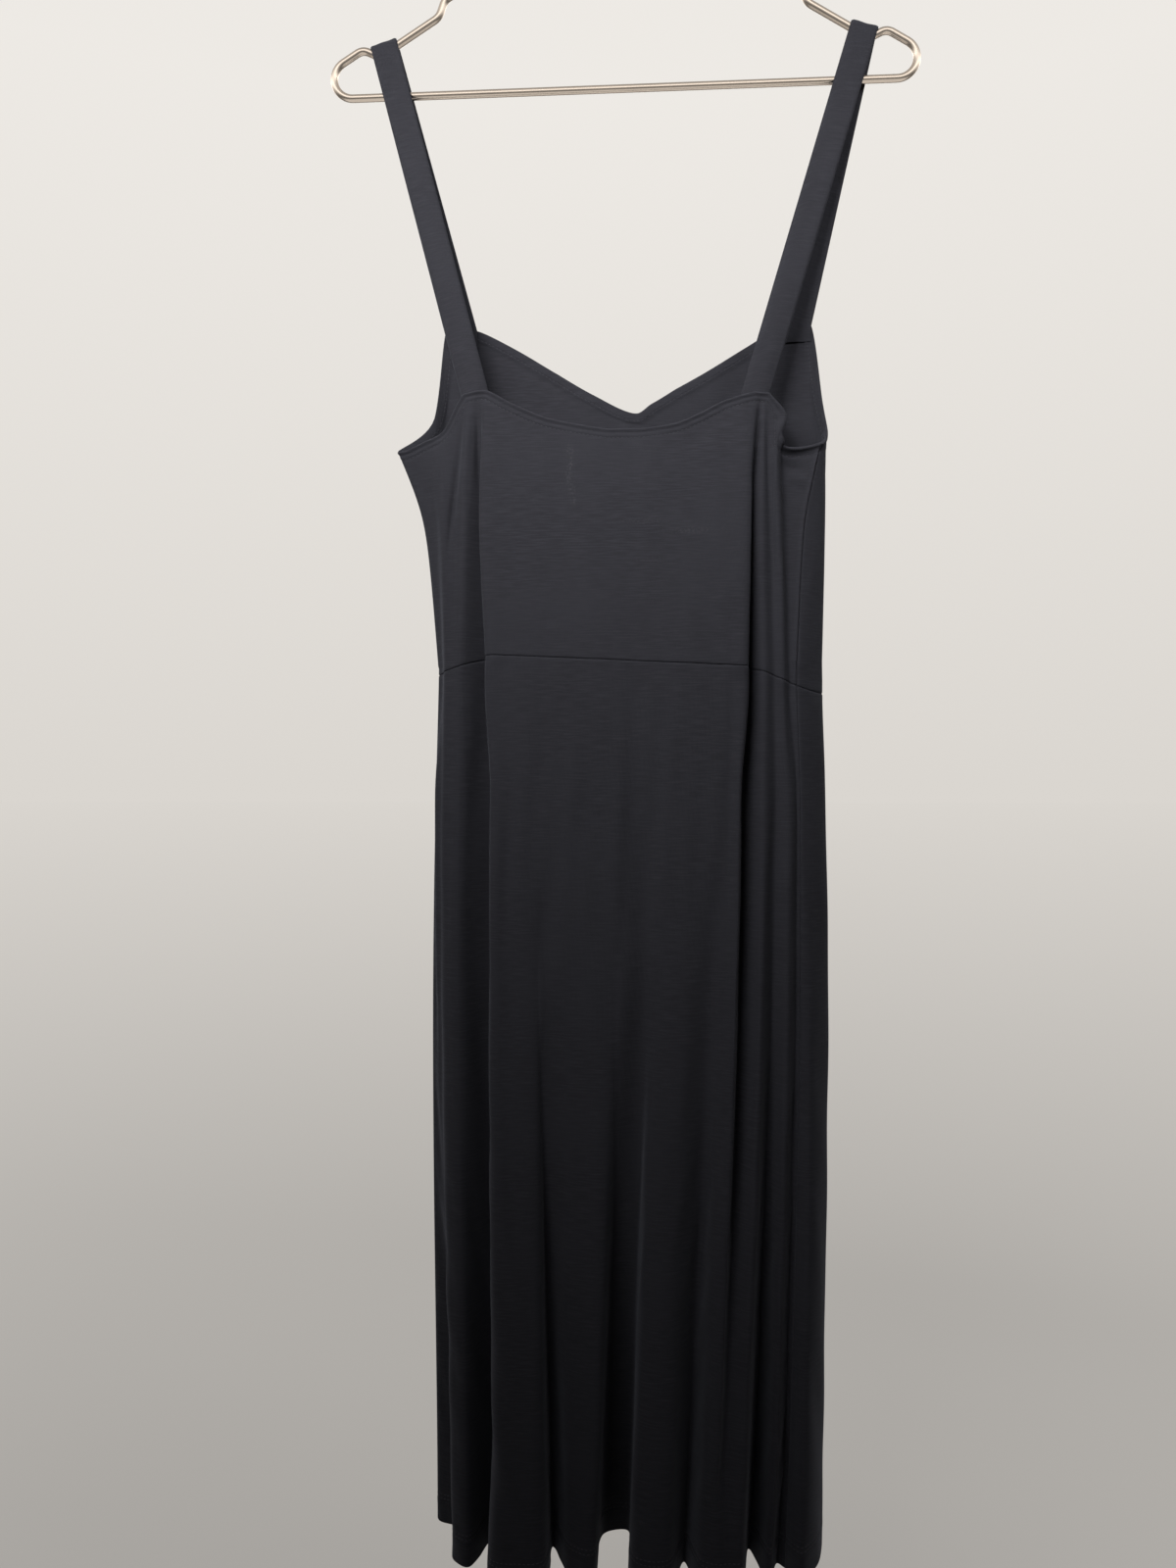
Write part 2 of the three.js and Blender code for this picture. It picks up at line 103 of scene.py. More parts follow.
FRONT_LINES = (
    ("right seam", 140, -2, -475, 127, -5, 122, -16, 112, -31, 0),
    ("right wrap", 145, 3, -461, 141, 2, 131, -11, 122, -45, 0),
    ("right side", 142.5, 8, -436, 145, 9, 141, 2, 140, -8, 0),
    ("right strap outer edge", 135.5, 11, -383, 138, 15, 134, 16, 134, 36, 0),
    ("right front valley", 124, 12, -382, 122, 15, 113, 17, 114, 27, 0),
    ("right strap inner edge", 113, 13, -383, 108, 18, 97, 23, 96, 55, 0),
    ("front trough 1", 86, 14, -398, 82, 19, 76, 22, 80, 27, 0.15),
    ("front ridge 1", 62, 15, -412, 59, 20, 55, 24, 63, 46, 0.3),
    ("front trough 2", 38, 15, -425, 36, 20, 33, 23, 39, 34, 0.35),
    ("front ridge 2", 21, 15, -435, 16, 20, 12, 24, 19, 58, 0.05),
    ("V point", 9, 15, -441.5, 3, 20, -9, 23, -10, 27, 0.2),
    ("front ridge 3", -18, 15, -429, -22, 20, -31, 24, -32, 45, 0.25),
    ("front trough 3", -45, 15, -413, -47, 20, -52, 22, -48, 33, 0.35),
    ("front ridge 4", -75, 14, -395, -75, 19, -74, 24, -71, 59, 0.05),
    ("left strap inner edge", -105, 13, -380, -101, 18, -94, 18, -95, 28, 0),
    ("left front ridge", -117, 12, -380, -113, 15, -107, 20, -110, 44, 0.1),
    ("left strap outer edge", -128, 10, -382, -125, 14, -119, 17, -127, 47, 0),
    ("left armhole", -136, 7, -446, -133, 10, -127, 11, -133.5, 33, 0),
)
LINE_NAMES = [row[0] for row in BACK_LINES + FRONT_LINES]
LINE = dict(zip(LINE_COLUMNS, np.array([row[1:] for row in BACK_LINES + FRONT_LINES], float).T))
LINE_COUNT = len(LINE_NAMES)
RIGHT_SEAM = len(BACK_LINES)
LEFT_SEAM = LINE_COUNT

# Distances from an edge at which a panel has rows or columns close together
EDGE_STEPS = np.array([
    0, 0.12, 0.35, 0.7, 1.1, 1.5, 2, 2.5, 3, 3.6, 4.4, 5.4, 6.2, 6.7, 7.2, 8, 9.5, 12,
])
SEAM_STEPS = np.array([0, 0.3, 0.6, 1, 1.5, 2.2, 3.2, 4.6, 6.5, 9])
HEM_STEPS = np.array([
    0, 0.12, 0.35, 0.7, 1.2, 2.2, 4, 7, 11, 14, 16, 17, 17.6, 18.2, 19, 20, 20.7, 21.3, 22, 24,
])
SIDE_STEPS = np.array([0, 0.03, 0.07, 0.12, 0.18, 0.26, 0.36, 0.48])
BODICE_MIDDLE_ROWS = 64
SKIRT_MIDDLE_ROWS = 96

# Soft ridges and, below nought, grooves beside an edge: distance from it, width and rise. Those of the
# right armhole and of the seam below it die out round the ring, within a width counted in lines.
EDGE_ROLL = ((1.2, 1.1, 0.6), (3.3, 0.8, -0.2))
SEAM_SINK = ((0, 0.4, -0.3), (2.4, 1.6, 0.08))
LIP_ROLL = ((2, 1.6, 2.1), (5.4, 1.4, -0.7))
LIP_PLACE = RIGHT_SEAM - 1.2
LIP_WIDTH = 1.3
SEAM_LIP = ((1.4, 0.9, 0.9),)
SEAM_LIP_WIDTH = 0.8
EDGE_RADIUS = 0.9

# Places where the cloth is pulled aside, beside the right armhole and along folds of the skirt: a line
# and how far past it, how many lines the pull reaches, the heights where it starts, is full, fades and
# ends, and its shift
PULLS = (
    ("right seam", -2, 0.45, -455, -467, -475, -570, (-4.5, 0, 0)),
    ("right seam", -1.05, 0.55, -440, -450, -470, -486, (0, -5, 0)),
    ("right seam", -0.9, 0.45, -440, -450, -470, -500, (0, 0, -4)),
    ("right seam", 0.1, 0.5, -455, -456, -476, -505, (0, 0, 6)),
    ("left side trough", 0, 0.5, -640, -720, -1000, -1130, (-5, 0, 0)),
    ("left pleat edge", 0, 0.7, -640, -720, -1150, -1260, (5, 0, 0)),
    ("right pleat edge", 0.5, 1, -640, -720, -1150, -1260, (-5.5, 0, 0)),
    ("right seam", -1.3, 1.3, -640, -720, -1150, -1260, (3.5, 0, 0)),
    ("second trough", 0, 0.6, -800, -870, -950, -1060, (0, -3.5, 0)),
    ("middle trough left", 0, 0.6, -800, -870, -950, -1060, (0, -3.5, 0)),
)

# Panels: name, random seed, first and last place round the ring, columns for each line of cloth,
# height of the ripples as a share of the setting, and what each hangs from
PANEL_COLUMNS = ("name", "seed", "start", "end", "columns", "ripple", "hangs_from")
BODICE = (
    ("bodice_back", 11, 0, RIGHT_SEAM, 9, 0.4, ["strap_left", "strap_right"]),
    ("bodice_front", 12, RIGHT_SEAM, LEFT_SEAM, 11, 0.4, ["strap_left", "strap_right"]),
)
SKIRT = (
    ("skirt_back", 21, 0, RIGHT_SEAM, 11, 1.3, ["bodice_back"]),
    ("skirt_front", 22, RIGHT_SEAM, LEFT_SEAM, 13, 1.3, ["bodice_front"]),
)

# Small creases placed one by one: the panel, the start and end of each as X and Z, its half width and
# how far it stands out (or, below nought, in), all in millimetres.
CREASES = (
    ("bodice_back", -111, -443, -123, -552, 2.2, -1.7),
    ("bodice_back", -106, -442, -113, -520, 2.4, 1.0),
    ("bodice_back", -101, -440, -100, -505, 1.7, -1.5),
    ("bodice_back", 98, -444, 91, -505, 1.8, -1.5),
    ("bodice_back", 101, -445, 107, -590, 2.2, -1.4),
    ("bodice_back", 105, -448, 111, -540, 2.2, 0.9),
    ("bodice_back", 8, -527, 72, -541, 5, 0.55),
    ("bodice_back", 70, -450, 41, -483, 9, -0.8),
    ("bodice_back", -54, -595, -41, -599, 3, -0.5),
    ("bodice_back", -50, -602, -36, -604, 3, 0.4),
    ("bodice_back", 116, -486, 130, -493, 2.4, -2),
    ("bodice_back", 116, -494, 130, -501, 3.5, 1.3),
    ("bodice_back", -152, -477, -137, -512, 5, -0.7),
    ("bodice_back", -70, -451, -49, -485, 8, -0.6),
    ("bodice_back", -96, -560, -60, -612, 8, 0.6),
    ("bodice_back", 84, -560, 55, -615, 8, 0.6),
    ("bodice_back", -20, -480, 20, -500, 12, -0.5),
    ("bodice_front", 60, -470, 110, -560, 9, 0.8),
    ("bodice_front", -60, -470, -104, -560, 9, 0.8),
    ("bodice_front", 110, -400, 90, -470, 7, -0.8),
    ("bodice_front", -104, -398, -88, -470, 7, -0.8),
    ("bodice_front", 4, -450, 0, -540, 8, -0.9),
    ("bodice_front", 132, -470, 112, -500, 4, -0.9),
    ("bodice_front", -50, -590, -20, -612, 6, 0.5),
    ("skirt_back", -98, -660, -100, -760, 5, -0.6),
    ("skirt_back", 12, -700, 24, -930, 9, -1.6),
    ("skirt_back", 43, -990, 38, -1123, 5, -1.2),
    ("skirt_back", -70, -650, -66, -830, 8, 0.6),
    ("skirt_back", -28, -640, -18, -760, 10, -0.7),
    ("skirt_back", 60, -640, 50, -790, 8, -0.7),
    ("skirt_back", 120, -650, 118, -790, 3, 0.7),
    ("skirt_back", -58, -1010, -64, -1190, 6, -0.9),
    ("skirt_back", -36, -980, -30, -1160, 7, 0.8),
    ("skirt_back", 70, -900, 62, -1110, 6, 0.8),
    ("skirt_front", 40, -640, 46, -790, 9, -0.8),
    ("skirt_front", -40, -640, -44, -800, 9, -0.8),
    ("skirt_front", 84, -660, 92, -820, 7, 0.7),
    ("skirt_front", -84, -660, -90, -820, 7, 0.7),
    ("skirt_front", 10, -900, 16, -1120, 8, 0.9),
    ("skirt_front", -66, -950, -62, -1160, 7, -0.9),
)

# Faint pale marks on the back: X, Z, half width, half height and strength. The first five are a worn,
# linty streak; the last three are painted highlight along the crease across the back.
MARKS = (
    (-35, -478, 1.6, 3, 0.55),
    (-33.5, -487, 1.3, 4, 0.65),
    (-35.5, -496, 1.5, 5, 0.55),
    (-33, -506, 1.2, 4, 0.5),
    (-32, -514, 1.4, 3, 0.35),
    # Painted highlight: pale streaks along the crease, standing in for light on its ridge
    (18, -529, 16, 1.6, 0.2),
    (48, -536, 18, 1.8, 0.25),
    (20, -556, 13, 1.2, 0.12),
)

# Straps: their outer and inner edges on the back and on the front, as places round the ring. Their
# sewn ends: the drop below the top edge, how far inside the panel's middle and the share of thickness.
STRAPS = (
    ("strap_left", -1, ("left first crease", 0), ("left pleat edge", 0.1),
     ("left strap outer edge", 0), ("left strap inner edge", 0)),
    ("strap_right", 1, ("right second valley", 0), ("right pleat edge", -0.52),
     ("right strap outer edge", 0), ("right strap inner edge", 0)),
)
STRAP_WIDTH = 19.6
STRAP_REACH = 169.9
SEWN_ENDS = ((12, 1.5, 0.25), (9, 1.75, 0.6), (5, 2.1, 1), (1, 2.1, 1))
STRAP_LIFT = 1.2
STRAP_SAG = 1.2
STRAP_ROWS = 60
STRAP_TURN_ROWS = 25

# Hanger wire
WIRE_RADIUS = 2.75
HANGER_WIDTH = 420
HANGER_DROP = 215
HOOK_RADIUS = 20
HOOK_FROM = -60
HOOK_TO = 200
END_RADIUS = 14
ARM_SLOPE = math.radians(32)
HUMP_RUN = 17
NOTCH_DIP = np.array([-12.2, -5.8])
NOTCH_LENGTH = 51
NOTCH_STEP = np.array([-4, 12])
HUMP_BEND = 5
STEP_BEND = 4
CREST_BEND = 14
WIRE_STEP = 1.3
WIRE_SIDES = 20
WELD_RADII = (4.6, 3.9, 3.3)
WELD_SINK = 0.8
HANGER_NODES = (
    "hanger_bar", "hanger_end_left", "hanger_end_right", "hanger_notch_left", "hanger_notch_right",
    "hanger_arm_left", "hanger_arm_right", "hanger_crest", "hanger_hook",
)

# Stage, in metres: half the floor's side, and the lights by name, place, aim, size, share of the key
# light's power and spread in degrees
FLOOR_REACH = 60
LIGHTS = (
    ("key", (-0.3, -0.82, 0), (0, 0, -0.41), 0.5, 1, 68),
    ("left", (-0.55, -0.45, 0.05), (-0.1, 0, -0.25), 0.3, 0.14, 56),
    ("right", (0.6, -0.5, 0.05), (0.12, 0, -0.24), 0.3, 0.17, 50),
    ("front", (0.35, 1.1, 0.05), (0, 0, -0.6), 0.8, 5, 140),
    ("side", (-1.1, 0.9, 0.1), (0, 0, -0.5), 0.6, 0.9, 100),
    ("side", (1.1, 0.9, 0.1), (0, 0, -0.5), 0.6, 0.9, 100),
)

# What the polished wire reflects: places from straight below to straight above, and brightness
ROOM = (
    (0.02, 0.7), (0.1, 0.8), (0.2, 0.28), (0.3, 0.13), (0.42, 0.26),
    (0.56, 0.8), (0.7, 2.0), (0.82, 0.7), (0.98, 0.4),
)


# The form of the dress


def smooth_step(value, low, high):
    share = np.clip((value - low) / (high - low), 0, 1)
    return share * share * (3 - 2 * share)


def soft_turn(waist, bust, top, top_z, above):
    """A place on the bodice at a height above the bust, turning softly there from slope to slope."""
    lower = (bust - waist) / (BUST_Z - WAIST_Z)
    upper = (top - bust) / (top_z - BUST_Z)
    past = (above + np.hypot(above, BUST_TURN)) / 2
    return bust + lower * above + (upper - lower) * past


def line_place(number, z):
    """X and Y of the lines with these numbers at these heights."""
    row = {column: values[number] for column, values in LINE.items()}
    share = np.clip((WAIST_Z - z) / (WAIST_Z - HEM_Z), 0, None)
    opened = np.clip((share - row["opens"]) / (1 - row["opens"]), 0, None) ** FOLD_GROWTH
    sway = share ** LINE_SWAY
    hip = 1 + HIP_SWELL * np.sin(math.pi * np.minimum(share, 1) ** 0.8) ** 1.5
    above = np.minimum(z, row["top_z"]) - BUST_Z
    places = []
    for axis, move, widen in (("x", sway, hip), ("y", opened, 1)):
        waist = row["waist_" + axis]
        bodice = soft_turn(waist, row["bust_" + axis], row["top_" + axis], row["top_z"], above)
        skirt = widen * (waist + (row["hem_" + axis] - waist) * move)
        places.append(np.where(z < WAIST_Z, skirt, bodice))
    return np.stack(places)


def ring(u, z):
    """Points of the dress's ring at places u, counted in lines from the left seam, and heights z."""
    u, z = np.broadcast_arrays(np.asarray(u, float), np.asarray(z, float))
    first = np.floor(u).astype(int)
    share = u - first
    p = [line_place((first + step) % LINE_COUNT, z) for step in (-1, 0, 1, 2)]
    d = [np.maximum(np.sum((b - a) ** 2, axis=0), 1e-9) ** 0.25 for a, b in zip(p, p[1:])]
    leave = ((p[1] - p[0]) / d[0] - (p[2] - p[0]) / (d[0] + d[1]) + (p[2] - p[1]) / d[1]) * d[1]
    reach = ((p[2] - p[1]) / d[1] - (p[3] - p[1]) / (d[1] + d[2]) + (p[3] - p[2]) / d[2]) * d[1]
    cube = 2 * p[1] - 2 * p[2] + leave + reach
    square = -3 * p[1] + 3 * p[2] - 2 * leave - reach
    x, y = ((cube * share + square) * share + leave) * share + p[1]
    return np.stack([x, y, z], axis=-1)


def ring_out(u, z):
    """The way out of the dress at places of its ring."""
    along = ring(u + 0.01, z) - ring(u - 0.01, z)
    up = ring(u, z + 0.5) - ring(u, z - 0.5)
    out = np.cross(along, up)
    return out / np.linalg.norm(out, axis=-1, keepdims=True)


def waist_height(u):
    x = ring(u, WAIST_Z)[..., 0]
    sag = WAIST_SAG_DROP * smooth_step(np.abs(x), WAIST_SAG_FROM, WAIST_SAG_TO)
    return WAIST_Z + WAIST_TILT * x - sag


def hem_height(u):
    return HEM_Z + HEM_TILT * ring(u, HEM_Z)[..., 0]


def top_height(u):
    """The bodice's top edge, smooth between the lines and never past either of them."""
    first = np.floor(u).astype(int)
    share = u - first
    a, b, c, d = (LINE["top_z"][(first + step) % LINE_COUNT] for step in (-1, 0, 1, 2))
    leave, reach = (c - a) / 2, (d - b) / 2
    cube = 2 * b - 2 * c + leave + reach
    square = -3 * b + 3 * c - 2 * leave - reach
    height = ((cube * share + square) * share + leave) * share + b
    return np.clip(height, np.minimum(b, c), np.maximum(b, c))


# Grids of cloth


def columns_between(start, end, steps):
    """Places round the ring from one side seam to the other, close together at both."""
    near = start + SIDE_STEPS
    far = end - SIDE_STEPS[::-1]
    middle = np.linspace(near[-1], far[0], int(round((far[0] - near[-1]) * steps)) + 1)
    return np.concatenate([near, middle[1:-1], far])


def rows_between(low, high, low_steps, high_steps, count):
    """Heights of a panel's rows, close together along its lower and upper edges."""
    height = high - low
    share = np.linspace(0, 1, count + 2)[1:-1, None]
    start = low_steps[-1]
    middle = start + (height - start - high_steps[-1]) * share
    lower = np.repeat(low_steps[:, None], len(low), axis=1)
    upper = height - high_steps[::-1, None]
    return low + np.concatenate([lower, middle, upper])


def unit_normals(points):
    out = np.cross(np.gradient(points, axis=1), np.gradient(points, axis=0))
    return out / np.maximum(np.linalg.norm(out, axis=-1, keepdims=True), 1e-12)


def run_along(points, axis):
    """How far along its rows or columns each point of a grid is."""
    steps = np.linalg.norm(np.diff(points, axis=axis), axis=-1)
    pad = [(0, 0), (0, 0)]
    pad[axis] = (1, 0)
    return np.pad(np.cumsum(steps, axis=axis), pad)


def distance_to(points, edge):
    """Each grid point's distance to an edge, given as points along it."""
    start, way = edge[:-1], np.diff(edge, axis=0)
    length = np.maximum(np.sum(way * way, axis=1), 1e-12)
    nearest = np.empty(points.shape[:2])
    for number, row in enumerate(points):
        offset = row[:, None, :] - start[None]
        share = np.clip(np.sum(offset * way, axis=2) / length, 0, 1)
        offset -= share[..., None] * way
        nearest[number] = np.sqrt(np.min(np.sum(offset * offset, axis=2), axis=1))
    return nearest


def swell(distance, centre, width, rise):
    """A soft ridge, or below nought a soft groove, along an edge."""
    return rise * np.exp(-(((distance - centre) / width) ** 2))


def swells(distance, rows):
    """Several such ridges and grooves along the same edge."""
    return sum(swell(distance, *row) for row in rows)


def crease_rise(panel, points):
    """How far the listed creases lift each point of a panel."""
    x, z = points[..., 0], points[..., 2]
    rise = np.zeros(x.shape)
    for name, x0, z0, x1, z1, width, height in CREASES:
        if name != panel:
            continue
        length = math.hypot(x1 - x0, z1 - z0)
        way_x, way_z = (x1 - x0) / length, (z1 - z0) / length
        along = ((x - x0) * way_x + (z - z0) * way_z) / length
        aside = (x - x0) * way_z - (z - z0) * way_x
        taper = smooth_step(along, -0.1, 0.35) * (1 - smooth_step(along, 0.65, 1.1))
        rise += height * taper * np.exp(-((aside / width) ** 2))
    return rise


def ripple(seed, across, down, height):
    """The slight unevenness of hanging cloth: long, narrow waves that come and go on the way down."""
    chance = np.random.default_rng(seed)
    rise = np.zeros(across.shape)
    count = 10
    for _ in range(count):
        wave = chance.uniform(16, 52)
        slant = chance.uniform(-0.1, 0.1)
        fade = chance.uniform(90, 300)
        turn, shift = chance.uniform(0, 2 * math.pi, 2)
        wander = np.cos(2 * math.pi * down / fade + shift)
        rise += np.cos(2 * math.pi * (across + slant * down) / wave + turn) * (0.5 + 0.5 * wander)
    return height * rise / math.sqrt(count)


# Meshes


def mesh_piece(name, corners, faces, material, flat=None, wear_and_highlight=None, sharp=None):
    """An object from corner points in millimetres and faces, with cloth coordinates in metres."""
    mesh = bpy.data.meshes.new(name)
    mesh.from_pydata((np.asarray(corners) * MM).tolist(), [], np.asarray(faces).tolist())
    if flat is not None:
        owners = np.empty(len(mesh.loops), np.int32)
        mesh.loops.foreach_get("vertex_index", owners)
        layer = mesh.uv_layers.new(name="cloth")
        layer.data.foreach_set("uv", (np.asarray(flat)[owners] * MM).astype(np.float32).ravel())
    if wear_and_highlight is not None:
        marks = mesh.attributes.new("wear_and_highlight", "FLOAT", "POINT")
        marks.data.foreach_set("value", np.asarray(wear_and_highlight, np.float32).ravel())
    mesh.polygons.foreach_set("use_smooth", np.ones(len(mesh.polygons), bool))
    if sharp is not None:
        mesh.set_sharp_from_angle(angle=math.radians(sharp))
    mesh.materials.append(material)
    mesh.validate()
    mesh.update()
    piece = bpy.data.objects.new(name, mesh)
    bpy.context.scene.collection.objects.link(piece)
    return piece


def grid_faces(rows, columns, offset=0, flip=False):
    corner = np.arange(rows * columns).reshape(rows, columns) + offset
    faces = np.stack([corner[:-1, :-1], corner[:-1, 1:], corner[1:, 1:], corner[1:, :-1]], axis=-1)
    faces = faces.reshape(-1, 4)
    return faces[:, ::-1] if flip else faces


def shell(outer, inner):
    """Corners and faces of a closed sheet from the grids of its outer and inner side."""
    rows, columns = outer.shape[:2]
    layer = rows * columns
    corner = np.arange(layer).reshape(rows, columns)
    loop = np.concatenate([corner[0, :-1], corner[:-1, -1], corner[-1, :0:-1], corner[:0:-1, 0]])
    onward = np.roll(loop, -1)
    rim = np.stack([onward, loop, loop + layer, onward + layer], axis=-1)
    faces = np.concatenate([grid_faces(rows, columns), grid_faces(rows, columns, layer, True), rim])
    return np.concatenate([outer.reshape(-1, 3), inner.reshape(-1, 3)]), faces


PANELS = {}


class Panel:
    """One cut panel of the dress: its middle grid, and the distances that its edges work from."""

    def __init__(self, row):
        for column, value in zip(PANEL_COLUMNS, row):
            setattr(self, column, value)
        self.u = columns_between(self.start, self.end, self.columns)

    def lay(self, low, high, low_steps, high_steps, middle_rows):
        self.points = ring(self.u[None], rows_between(low, high, low_steps, high_steps, middle_rows))
        self.along = run_along(self.points, 1)
        self.side = np.minimum(self.along, self.along[:, -1:] - self.along)
        self.low = self.points[..., 2] - low
        self.high = high - self.points[..., 2]
        middle = self.along[:, self.along.shape[1] // 2][:, None]
        self.flat = np.stack([self.along - middle, self.points[..., 2]], axis=-1)

    def pull(self):
        """Pull the middle grid aside at a few places."""
        z = self.points[..., 2]
        for line, past, reach, start, full, fades, ends, shift in PULLS:
            place = LINE_NAMES.index(line) + past
            share = smooth_step(-z, -start, -full) * (1 - smooth_step(-z, -fades, -ends))
            share = share * np.exp(-(((self.u - place) / reach) ** 2))
            self.points = self.points + share[..., None] * np.array(shift)

    def drape(self, height, clear):
        """Lift the middle grid by its creases and ripples, which die out towards the edges."""
        normals = unit_normals(self.points)
        across, down = np.moveaxis(self.flat, -1, 0)
        rise = crease_rise(self.name, self.points)
        rise = rise + ripple(self.seed, across, down, self.ripple * height)
        rise *= smooth_step(clear, 1, 9)
        self.points = self.points + rise[..., None] * normals
        self.normals = unit_normals(self.points)

    def cloth(self, outside, inside, material):
        """The panel's shell, with its outer and inner side moved by these distances."""
        self.outer = self.points + outside[..., None] * self.normals
        self.inner = self.points - inside[..., None] * self.normals
        corners, faces = shell(self.outer, self.inner)
        flat = np.concatenate([self.flat.reshape(-1, 2)] * 2)
        wear_and_highlight = self.wear_and_highlight().ravel()
        wear_and_highlight = np.concatenate([wear_and_highlight, np.zeros_like(wear_and_highlight)])
        piece = mesh_piece(self.name + "_cloth", corners, faces, material, flat, wear_and_highlight, 70)
        dress_piece(piece, self.name)
        PANELS[self.name] = self

    def wear_and_highlight(self):
        # Pale marks on the back bodice: a worn, linty streak and painted highlight along a crease
        x, z = self.points[..., 0], self.points[..., 2]
        marks = np.zeros(x.shape)
        if self.name == "bodice_back":
            for mark_x, mark_z, wide, tall, strength in MARKS:
                marks += strength * np.exp(-(((x - mark_x) / wide) ** 2) - ((z - mark_z) / tall) ** 2)
        return marks

    def path_at(self, distance, amount, outside=True, from_top=False):
        """Points and normals on one side of the panel where a distance first has this amount."""
        grid = self.outer if outside else self.inner
        way = self.normals if outside else -self.normals
        if from_top:
            distance, grid, way = distance[::-1], grid[::-1], way[::-1]
        column = np.arange(distance.shape[1])
        row = np.clip(np.argmax(distance >= amount, axis=0), 1, None)
        before, after = distance[row - 1, column], distance[row, column]
        share = np.clip((amount - before) / np.maximum(after - before, 1e-9), 0, 1)[:, None]
        point = grid[row - 1, column] * (1 - share) + grid[row, column] * share
        out = way[row - 1, column] * (1 - share) + way[row, column] * share
        return point, out


def dress_piece(piece, node):
    """Let a piece stand for its solid and ride on the body."""
    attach(piece, "root")
    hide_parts(node)


def rounded(distance, radius):
    """How much of its thickness cloth has this far from a rounded edge."""
    return np.sqrt(1 - (1 - np.clip(distance / radius, 0, 1)) ** 2)


def stitches(path, out, pitch, length, radius):
    """Corners and faces of the stitches along a path, each a short rounded thread on the cloth."""
    run = np.concatenate([[0], np.cumsum(np.linalg.norm(np.diff(path, axis=0), axis=1))])
    starts = np.arange(pitch, run[-1] - pitch, pitch)
    along = np.linspace(0, 1, 5)
    places = starts[:, None] + length * along
    centre = np.stack([np.interp(places, run, path[:, axis]) for axis in range(3)], axis=-1)
    lift = np.stack([np.interp(places, run, out[:, axis]) for axis in range(3)], axis=-1)
    lift /= np.linalg.norm(lift, axis=-1, keepdims=True)
    way = np.gradient(centre, axis=1)
    way /= np.linalg.norm(way, axis=-1, keepdims=True)
    aside = np.cross(way, lift)
    thick = radius * np.sqrt(1 - (2 * along - 1) ** 2 * 0.96)
    sink = radius * (0.25 - 1.1 * (2 * along - 1) ** 2)
    centre = centre + lift * sink[None, :, None]
    sides = 6
    turn = 2 * math.pi * np.arange(sides) / sides
    circle = np.cos(turn)[:, None] * aside[..., None, :] + np.sin(turn)[:, None] * lift[..., None, :]
    corners = centre[..., None, :] + thick[None, :, None, None] * circle
    count, rings = corners.shape[:2]
    number = np.arange(count * rings * sides).reshape(count, rings, sides)
    around = np.roll(number, -1, axis=2)
    faces = np.stack([number[:, :-1], around[:, :-1], around[:, 1:], number[:, 1:]], axis=-1)
    return corners.reshape(-1, 3), faces.reshape(-1, 4)


def joined(parts):
    """The corners and faces of several meshes as one."""
    corners, faces, offset = [], [], 0
    for points, polygons in parts:
        corners.append(points)
        faces.append(polygons + offset)
        offset += len(points)
    return np.concatenate(corners), np.concatenate(faces)


def tube(path, radius, sides, closed):
    """Corners and faces of a wire along points in the X-Z plane."""
    if closed:
        way = np.roll(path, -1, axis=0) - np.roll(path, 1, axis=0)
    else:
        way = np.gradient(path, axis=0)
    way /= np.linalg.norm(way, axis=1, keepdims=True)
    over = np.stack([-way[:, 2], np.zeros(len(way)), way[:, 0]], axis=1)
    turn = 2 * math.pi * np.arange(sides) / sides
    circle = np.cos(turn)[:, None] * over[:, None] - np.sin(turn)[:, None] * np.array([0, 1.0, 0])
    corners = path[:, None] + np.reshape(radius, (-1, 1, 1)) * circle
    number = np.arange(len(path) * sides).reshape(len(path), sides)
    onward = np.roll(number, -1, axis=0) if closed else number[1:]
    here = number if closed else number[:-1]
    around, onward_around = np.roll(here, -1, axis=1), np.roll(onward, -1, axis=1)
    faces = np.stack([here, onward, onward_around, around], axis=-1).reshape(-1, 4)
    return corners.reshape(-1, 3), faces


# Materials


class Nodes:
    """The node tree of a material or world, with short ways to add and link nodes."""

    def __init__(self, owner):
        owner.use_nodes = True
        self.tree = owner.node_tree

    def add(self, kind, inputs=(), **settings):
        node = self.tree.nodes.new("ShaderNode" + kind)
        for key, value in settings.items():
            setattr(node, key, value)
        for key, value in dict(inputs).items():
            if isinstance(value, bpy.types.NodeSocket):
                self.tree.links.new(value, node.inputs[key])
            else:
                node.inputs[key].default_value = value
        return node

    def mix(self, share, first, second):
        node = self.add("Mix", data_type="RGBA")
        for number, value in ((0, share), (6, first), (7, second)):
            if isinstance(value, bpy.types.NodeSocket):
                self.tree.links.new(value, node.inputs[number])
            else:
                node.inputs[number].default_value = value
        return node.outputs[2]

    def ramp(self, value, low, high):
        node = self.add("ValToRGB", {"Fac": value})
        node.color_ramp.elements[0].position = low
        node.color_ramp.elements[1].position = high
        return node.outputs["Color"]


class MaterialNodes(Nodes):
    """The node tree of a new material, with its shader."""

    def __init__(self, name):
        self.material = bpy.data.materials.new(name)
        super().__init__(self.material)
        self.shader = self.tree.nodes["Principled BSDF"]

    def link(self, output, socket):
        self.tree.links.new(output, self.shader.inputs[socket])


def colour(values, times=1.0):
    return (*[value * times for value in values[:3]], 1.0)


